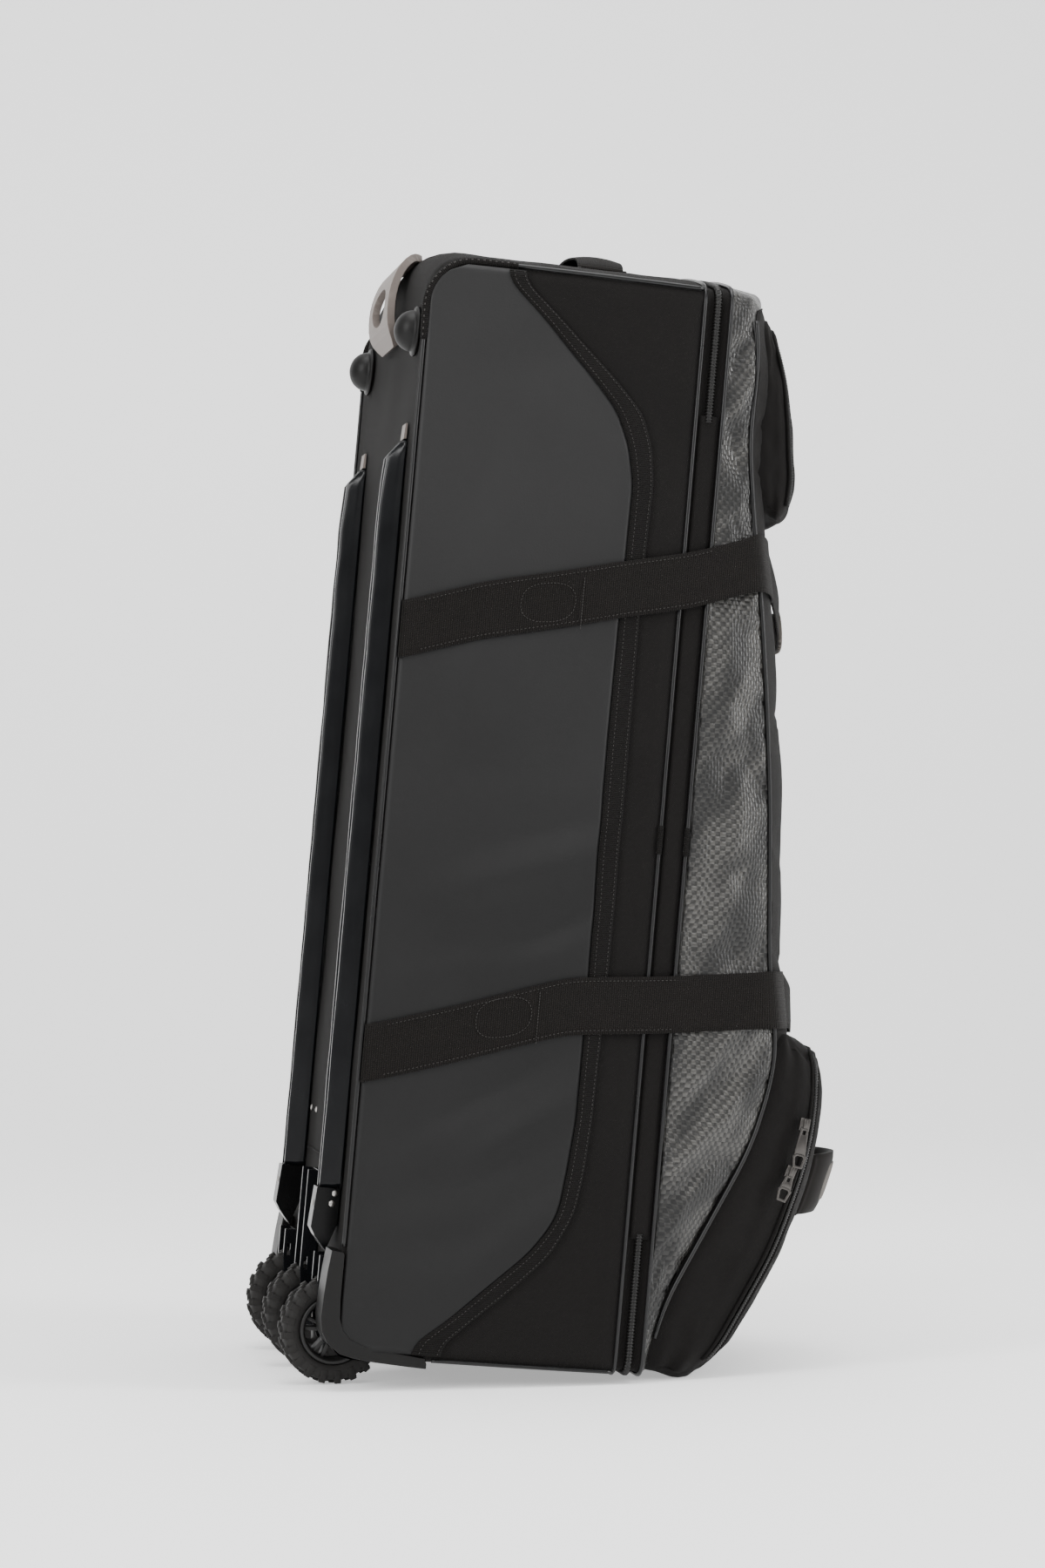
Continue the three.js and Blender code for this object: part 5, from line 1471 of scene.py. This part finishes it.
# %% Domed feet
def turned(profile, steps):
    """A profile of (along, radius) points spun round the X axis."""
    bm = bmesh.new()
    verts = [bm.verts.new((along, radius, 0)) for along, radius in profile]
    edges = [bm.edges.new(pair) for pair in zip(verts, verts[1:])]
    bmesh.ops.spin(
        bm, geom=verts + edges, cent=(0, 0, 0), axis=(1, 0, 0), angle=2 * math.pi, steps=steps,
        use_merge=True,
    )
    bmesh.ops.remove_doubles(bm, verts=bm.verts, dist=0.01)
    return bm


DOME = [(-0.3, 0), (-0.3, 22), (-2.4, 22), (-3.3, 21.2), (-3.5, 18.4)]
DOME += [
    (-3.5 - 17 * math.sin(a), 18.4 * math.cos(a)) for a in [math.radians(9 * k) for k in range(1, 10)]
] + [(-20.5, 0)]
for side, hand in SIDES.items():
    bm = turned(DOME, 40)
    bmesh.ops.translate(bm, vec=(0, hand * 140, HEIGHT - 62), verts=bm.verts)
    finish_piece(f"dome_{side}", bm, matt_plastic, "moulded_plastic", [f"dome_foot_{side}"])
print("dome feet: 2")

# %% [markdown]
# ## Wheels
# Each wheel has a knobbly tyre and a moulded rim with five split spokes. The tyre's body is a profile
# spun round the axle; a lug is a small bevelled block, copied round both shoulders and the middle. The
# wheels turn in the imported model, so tyre and rim ride on the wheel's own body.

# %% Tyre
LUGS = 20
TYRE_PROFILE = [
    (-12.6, 30.4), (-14.4, 33), (-14.6, 37), (-13.6, 41), (-11, 43.2), (-5, 44.2), (0, 44.5), (5, 44.2),
    (11, 43.2), (13.6, 41), (14.6, 37), (14.4, 33), (12.6, 30.4),
]


def lug(bm, size, place, angle, tilt=0.0):
    made = bmesh.ops.create_cube(bm, size=1, matrix=Matrix.Diagonal((*size, 1)))["verts"]
    for v in made:
        if v.co.z > 0:
            v.co.x *= 0.82
            v.co.y *= 0.8
    bmesh.ops.rotate(bm, cent=(0, 0, 0), matrix=Matrix.Rotation(tilt, 3, "Z"), verts=made)
    bmesh.ops.translate(bm, vec=place, verts=made)
    bmesh.ops.rotate(bm, cent=(0, 0, 0), matrix=Matrix.Rotation(angle, 3, "X"), verts=made)


def tyre_form():
    bm = turned(TYRE_PROFILE + [TYRE_PROFILE[0]], 80)
    for k in range(LUGS):
        angle = 2 * math.pi * k / LUGS
        half_step = math.pi / LUGS
        lug(bm, (8.5, 7.2, 5), (-9.6, 0, 44.1), angle, 0.15)
        lug(bm, (8.5, 7.2, 5), (9.6, 0, 44.1), angle + half_step, -0.15)
        lug(bm, (3.4, 6.4, 9.0), (-13.2, 0, 39.4), angle)
        lug(bm, (3.4, 6.4, 9.0), (13.2, 0, 39.4), angle + half_step)
        lug(bm, (7.5, 6, 4), (0, 0, 44.8), angle + half_step * 0.5, 0.5)
    return bm


# %% Rim
SPOKES = 5


def rim_form():
    ring_profile = [
        (-12.4, 30), (-13.5, 29), (-13.5, 26.6), (-11, 25.2), (-4, 24.4),
        (4, 24.4), (11, 25.2), (13.5, 26.6), (13.5, 29), (12.4, 30),
    ]
    bm = turned(ring_profile + [ring_profile[0]], 60)
    hub_profile = [(-13, 5.4), (-13, 9.4), (-11.5, 11), (11.5, 11), (13, 9.4), (13, 5.4), (-13, 5.4)]
    bm = joined(bm, turned(hub_profile, 40))
    for k in range(SPOKES):
        for spread in (-0.13, 0.13):
            angle = 2 * math.pi * k / SPOKES + 0.35
            made = bmesh.ops.create_cube(bm, size=1, matrix=Matrix.Diagonal((19, 3.4, 17, 1)))["verts"]
            for v in made:
                v.co.x *= 0.8 if v.co.z > 0 else 1
            bmesh.ops.translate(bm, vec=(0, 0, 17.5), verts=made)
            splay = Matrix.Rotation(spread * 1.4, 3, "X")
            bmesh.ops.rotate(bm, cent=(0, 0, 10), matrix=splay, verts=made)
            bmesh.ops.translate(bm, vec=(0, -spread * 14, 0), verts=made)
            bmesh.ops.rotate(bm, cent=(0, 0, 0), matrix=Matrix.Rotation(angle, 3, "X"), verts=made)
    return bm


# %% Three wheels
SPIN_AXIS = Matrix.Rotation(math.pi / 2, 4, "Z")
WHEEL_PARTS = [
    ("tyre", tyre_form, tread_rubber, "tyre"), ("rim", rim_form, wheel_plastic, "wheel_plastic"),
]
for side, across in {"left": -122, "middle": 0, "right": 122}.items():
    on_axle = Matrix.Translation((AXLE.x, across, AXLE.z))
    rolled = Matrix.Rotation(0.21 * across, 4, "Y")
    for part, form, material, slot in WHEEL_PARTS:
        bm = form()
        bmesh.ops.transform(bm, matrix=on_axle @ rolled @ SPIN_AXIS, verts=bm.verts)
        wheel = finish_piece(
            f"{part}_{side}_moulded", bm, material, slot, [f"{part}_{side}"], body=f"wheel_{side}",
        )
        edges = wheel.modifiers.new("soft_edges", "BEVEL")
        edges.width, edges.segments = 0.45 * MM, 2
        edges.limit_method, edges.angle_limit = "ANGLE", math.radians(40)
print("wheels: 3, lugs on each:", 5 * LUGS)

# %% [markdown]
# ## Corner guards
# A moulded guard wraps each lower back corner: a band round the outside, and a thin flange that lies
# on the side panel. Both are one outline pushed sideways, so the outline is written once and the inner
# edge is what differs.

# %% Outline of the guard
GUARD_OUTER = [
    (-0.6, 90), (-10.5, 91), (-12.6, 74), (-14.2, 52), (-15, 33), (-13, 21), (-7, 11), (4, 3), (16, 0),
    (34, -2.2), (60, -4), (80, -5), (80, -0.7),
]
GUARD_ON_TUB = [(14, -0.6), (4.5, 1.4), (0.8, 4.5), (-0.6, 14)]
GUARD_ON_PANEL = [(78, 4), (50, 7.5), (26, 11), (12, 16), (5, 23), (1.6, 33), (0.6, 50), (0.6, 88)]
GUARD_IN, GUARD_OUT = 150.3, 186
FLANGE = 3


def plate(bm, outline, low, high):
    """An outline in the side view, from one distance off the middle to another."""
    face = bm.faces.new([bm.verts.new((x, low, z)) for x, z in outline])
    pushed = bmesh.ops.extrude_face_region(bm, geom=[face])["geom"]
    ends = [part for part in pushed if isinstance(part, bmesh.types.BMVert)]
    bmesh.ops.translate(bm, verts=ends, vec=(0, high - low, 0))


# %% Two guards
for side, hand in SIDES.items():
    bm = bmesh.new()
    plate(bm, GUARD_OUTER + GUARD_ON_TUB, hand * GUARD_IN, hand * GUARD_OUT)
    plate(bm, GUARD_OUTER + GUARD_ON_PANEL, hand * GUARD_OUT, hand * (GUARD_OUT + FLANGE))
    bmesh.ops.recalc_face_normals(bm, faces=bm.faces)
    guard = finish_piece(f"guard_{side}", bm, matt_plastic, "moulded_plastic", [f"corner_guard_{side}"])
    round_edges(guard, 1.2)
    print(guard.name, len(guard.data.polygons), "faces")

# %% [markdown]
# ## Small metal and the hem
# Rivets hold the end plates, the middle fork and the back panel, and a thin hem crosses the back above
# the wheels. Each finds its seat by a straight line shot at the solid or cloth that it sits on. A rivet
# is a low dome, so a flattened ball half sunk into its seat is enough.

# %% Seats
def seat(solid, start, ahead):
    """Where a line through the straight bag first meets one object."""
    into = solid.matrix_world.inverted() @ BAG
    hit, place, _, _ = solid.ray_cast(into @ Vector(start), (into.to_3x3() @ Vector(ahead)).normalized())
    assert hit, (solid.name, start)
    return into.inverted() @ place


RIVETS = [
    # object, where the line starts, which way it goes
    *[(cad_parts[f"end_plate_{side}"], (x, hand * 300, z), (0, -hand, 0))
      for side, hand in SIDES.items() for x, z in ((-7, 127), (-5, 136))],
    *[(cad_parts[f"end_plate_{side}"], (-90, hand * RAIL_Y, 126), (1, 0, 0))
      for side, hand in SIDES.items()],
    *[(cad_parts["fork_middle"], (-90, y, z), (1, 0, 0)) for y, z in ((-14, 128), (12, 128))],
    *[(tub_cloth, (-90, y, 196.5), (1, 0, 0)) for y in (-108, -74, 74, 108)],
]

# %% Rivets
bm = bmesh.new()
for solid, start, ahead in RIVETS:
    flat = Matrix.Diagonal([1 - 0.5 * abs(part) for part in ahead] + [1])
    bmesh.ops.create_icosphere(
        bm, subdivisions=2, radius=3, matrix=Matrix.Translation(seat(solid, start, ahead)) @ flat,
    )
finish_piece("rivets", bm, plated_steel, "plated_metal")
print("rivets:", len(RIVETS))

# %% Hem across the back
hem = [seat(tub_cloth, (-90, y, 160), (1, 0, 0)) for y in range(-108, 109, 6)]
bm = rope(hem, 1.5)
finish_piece("back_hem", bm, binding, "binding")
print("hem:", round(path_length(hem)), "mm")


# %% [markdown]
# ## Stitches
# Seams are rows of short thread ends. One stitch is a tiny stretched ball; a row puts one every few
# millimetres along a path on the cloth and turns it along the path.

# %% A row of stitches
def stitch_row(bm, points, pitch=3.6, length=2.5, thick=0.75):
    path = evenly(points, pitch)
    for a, b in zip(path, path[1:]):
        ahead = (b - a).normalized()
        turned_to = ahead.to_track_quat("X", "Z").to_matrix().to_4x4()
        bmesh.ops.create_icosphere(
            bm, subdivisions=1, radius=0.5,
            matrix=Matrix.Translation((a + b) / 2) @ turned_to @ Matrix.Diagonal((length, thick, thick, 1)),
        )


def on_panel(points, off, hand):
    return [side_point(x, z, off, hand) for x, z in points]


def band_line(v, low=0.0, high=1.0):
    """A line along the binding, v from its inner to its outer edge."""
    spots = []
    for k in range(160):
        z = mix(PANEL_LOW, PANEL_HIGH, mix(low, high, k / 159))
        spots.append((mix(panel_edge(z, 1), panel_edge(z, 2), v), z))
    return spots


def rounded_box_line(x, z, half_x, half_z, lean):
    """An oval of stitches on a strap."""
    spots = []
    for k in range(49):
        a = 2 * math.pi * k / 48
        dx = half_x * math.copysign(abs(math.cos(a)) ** 0.8, math.cos(a))
        dz = half_z * math.copysign(abs(math.sin(a)) ** 0.8, math.sin(a))
        spots.append((x + dx, z + dz + dx * lean))
    return spots


for side, hand in SIDES.items():
    bm = bmesh.new()
    stitch_row(bm, on_panel(band_line(0.2), 3.3, hand))
    stitch_row(bm, on_panel(band_line(0.86), 3.2, hand))
    stitch_row(bm, wrap_path(hand, WRAP_RADIUS), pitch=5.2, length=2.8, thick=1.4)
    finish_piece(f"panel_stitches_{side}", bm, thread, "binding")
    bm = bmesh.new()
    for level, x, lean in (("upper", 128, 0.12), ("lower", 120, 0.2)):
        z = look_up_soft(STRAPS[level], x / 330, 1, 0.03) * HEIGHT + TAPE / 2
        stitch_row(bm, on_panel(rounded_box_line(x, z, 24, 17, lean), 5.1, hand), pitch=3.0)
        stitch_row(bm, on_panel([(x + 30, z - 21), (x + 30, z + 25)], 5.1, hand), pitch=2.6)
        for w in (0.07, 0.93):
            edge = strap_edge(STRAPS[level], hand, w, 1.75)
            stitch_row(bm, edge[3:46])
    finish_piece(f"strap_stitches_{side}", bm, thread, "webbing")
print("stitch rows: 16")
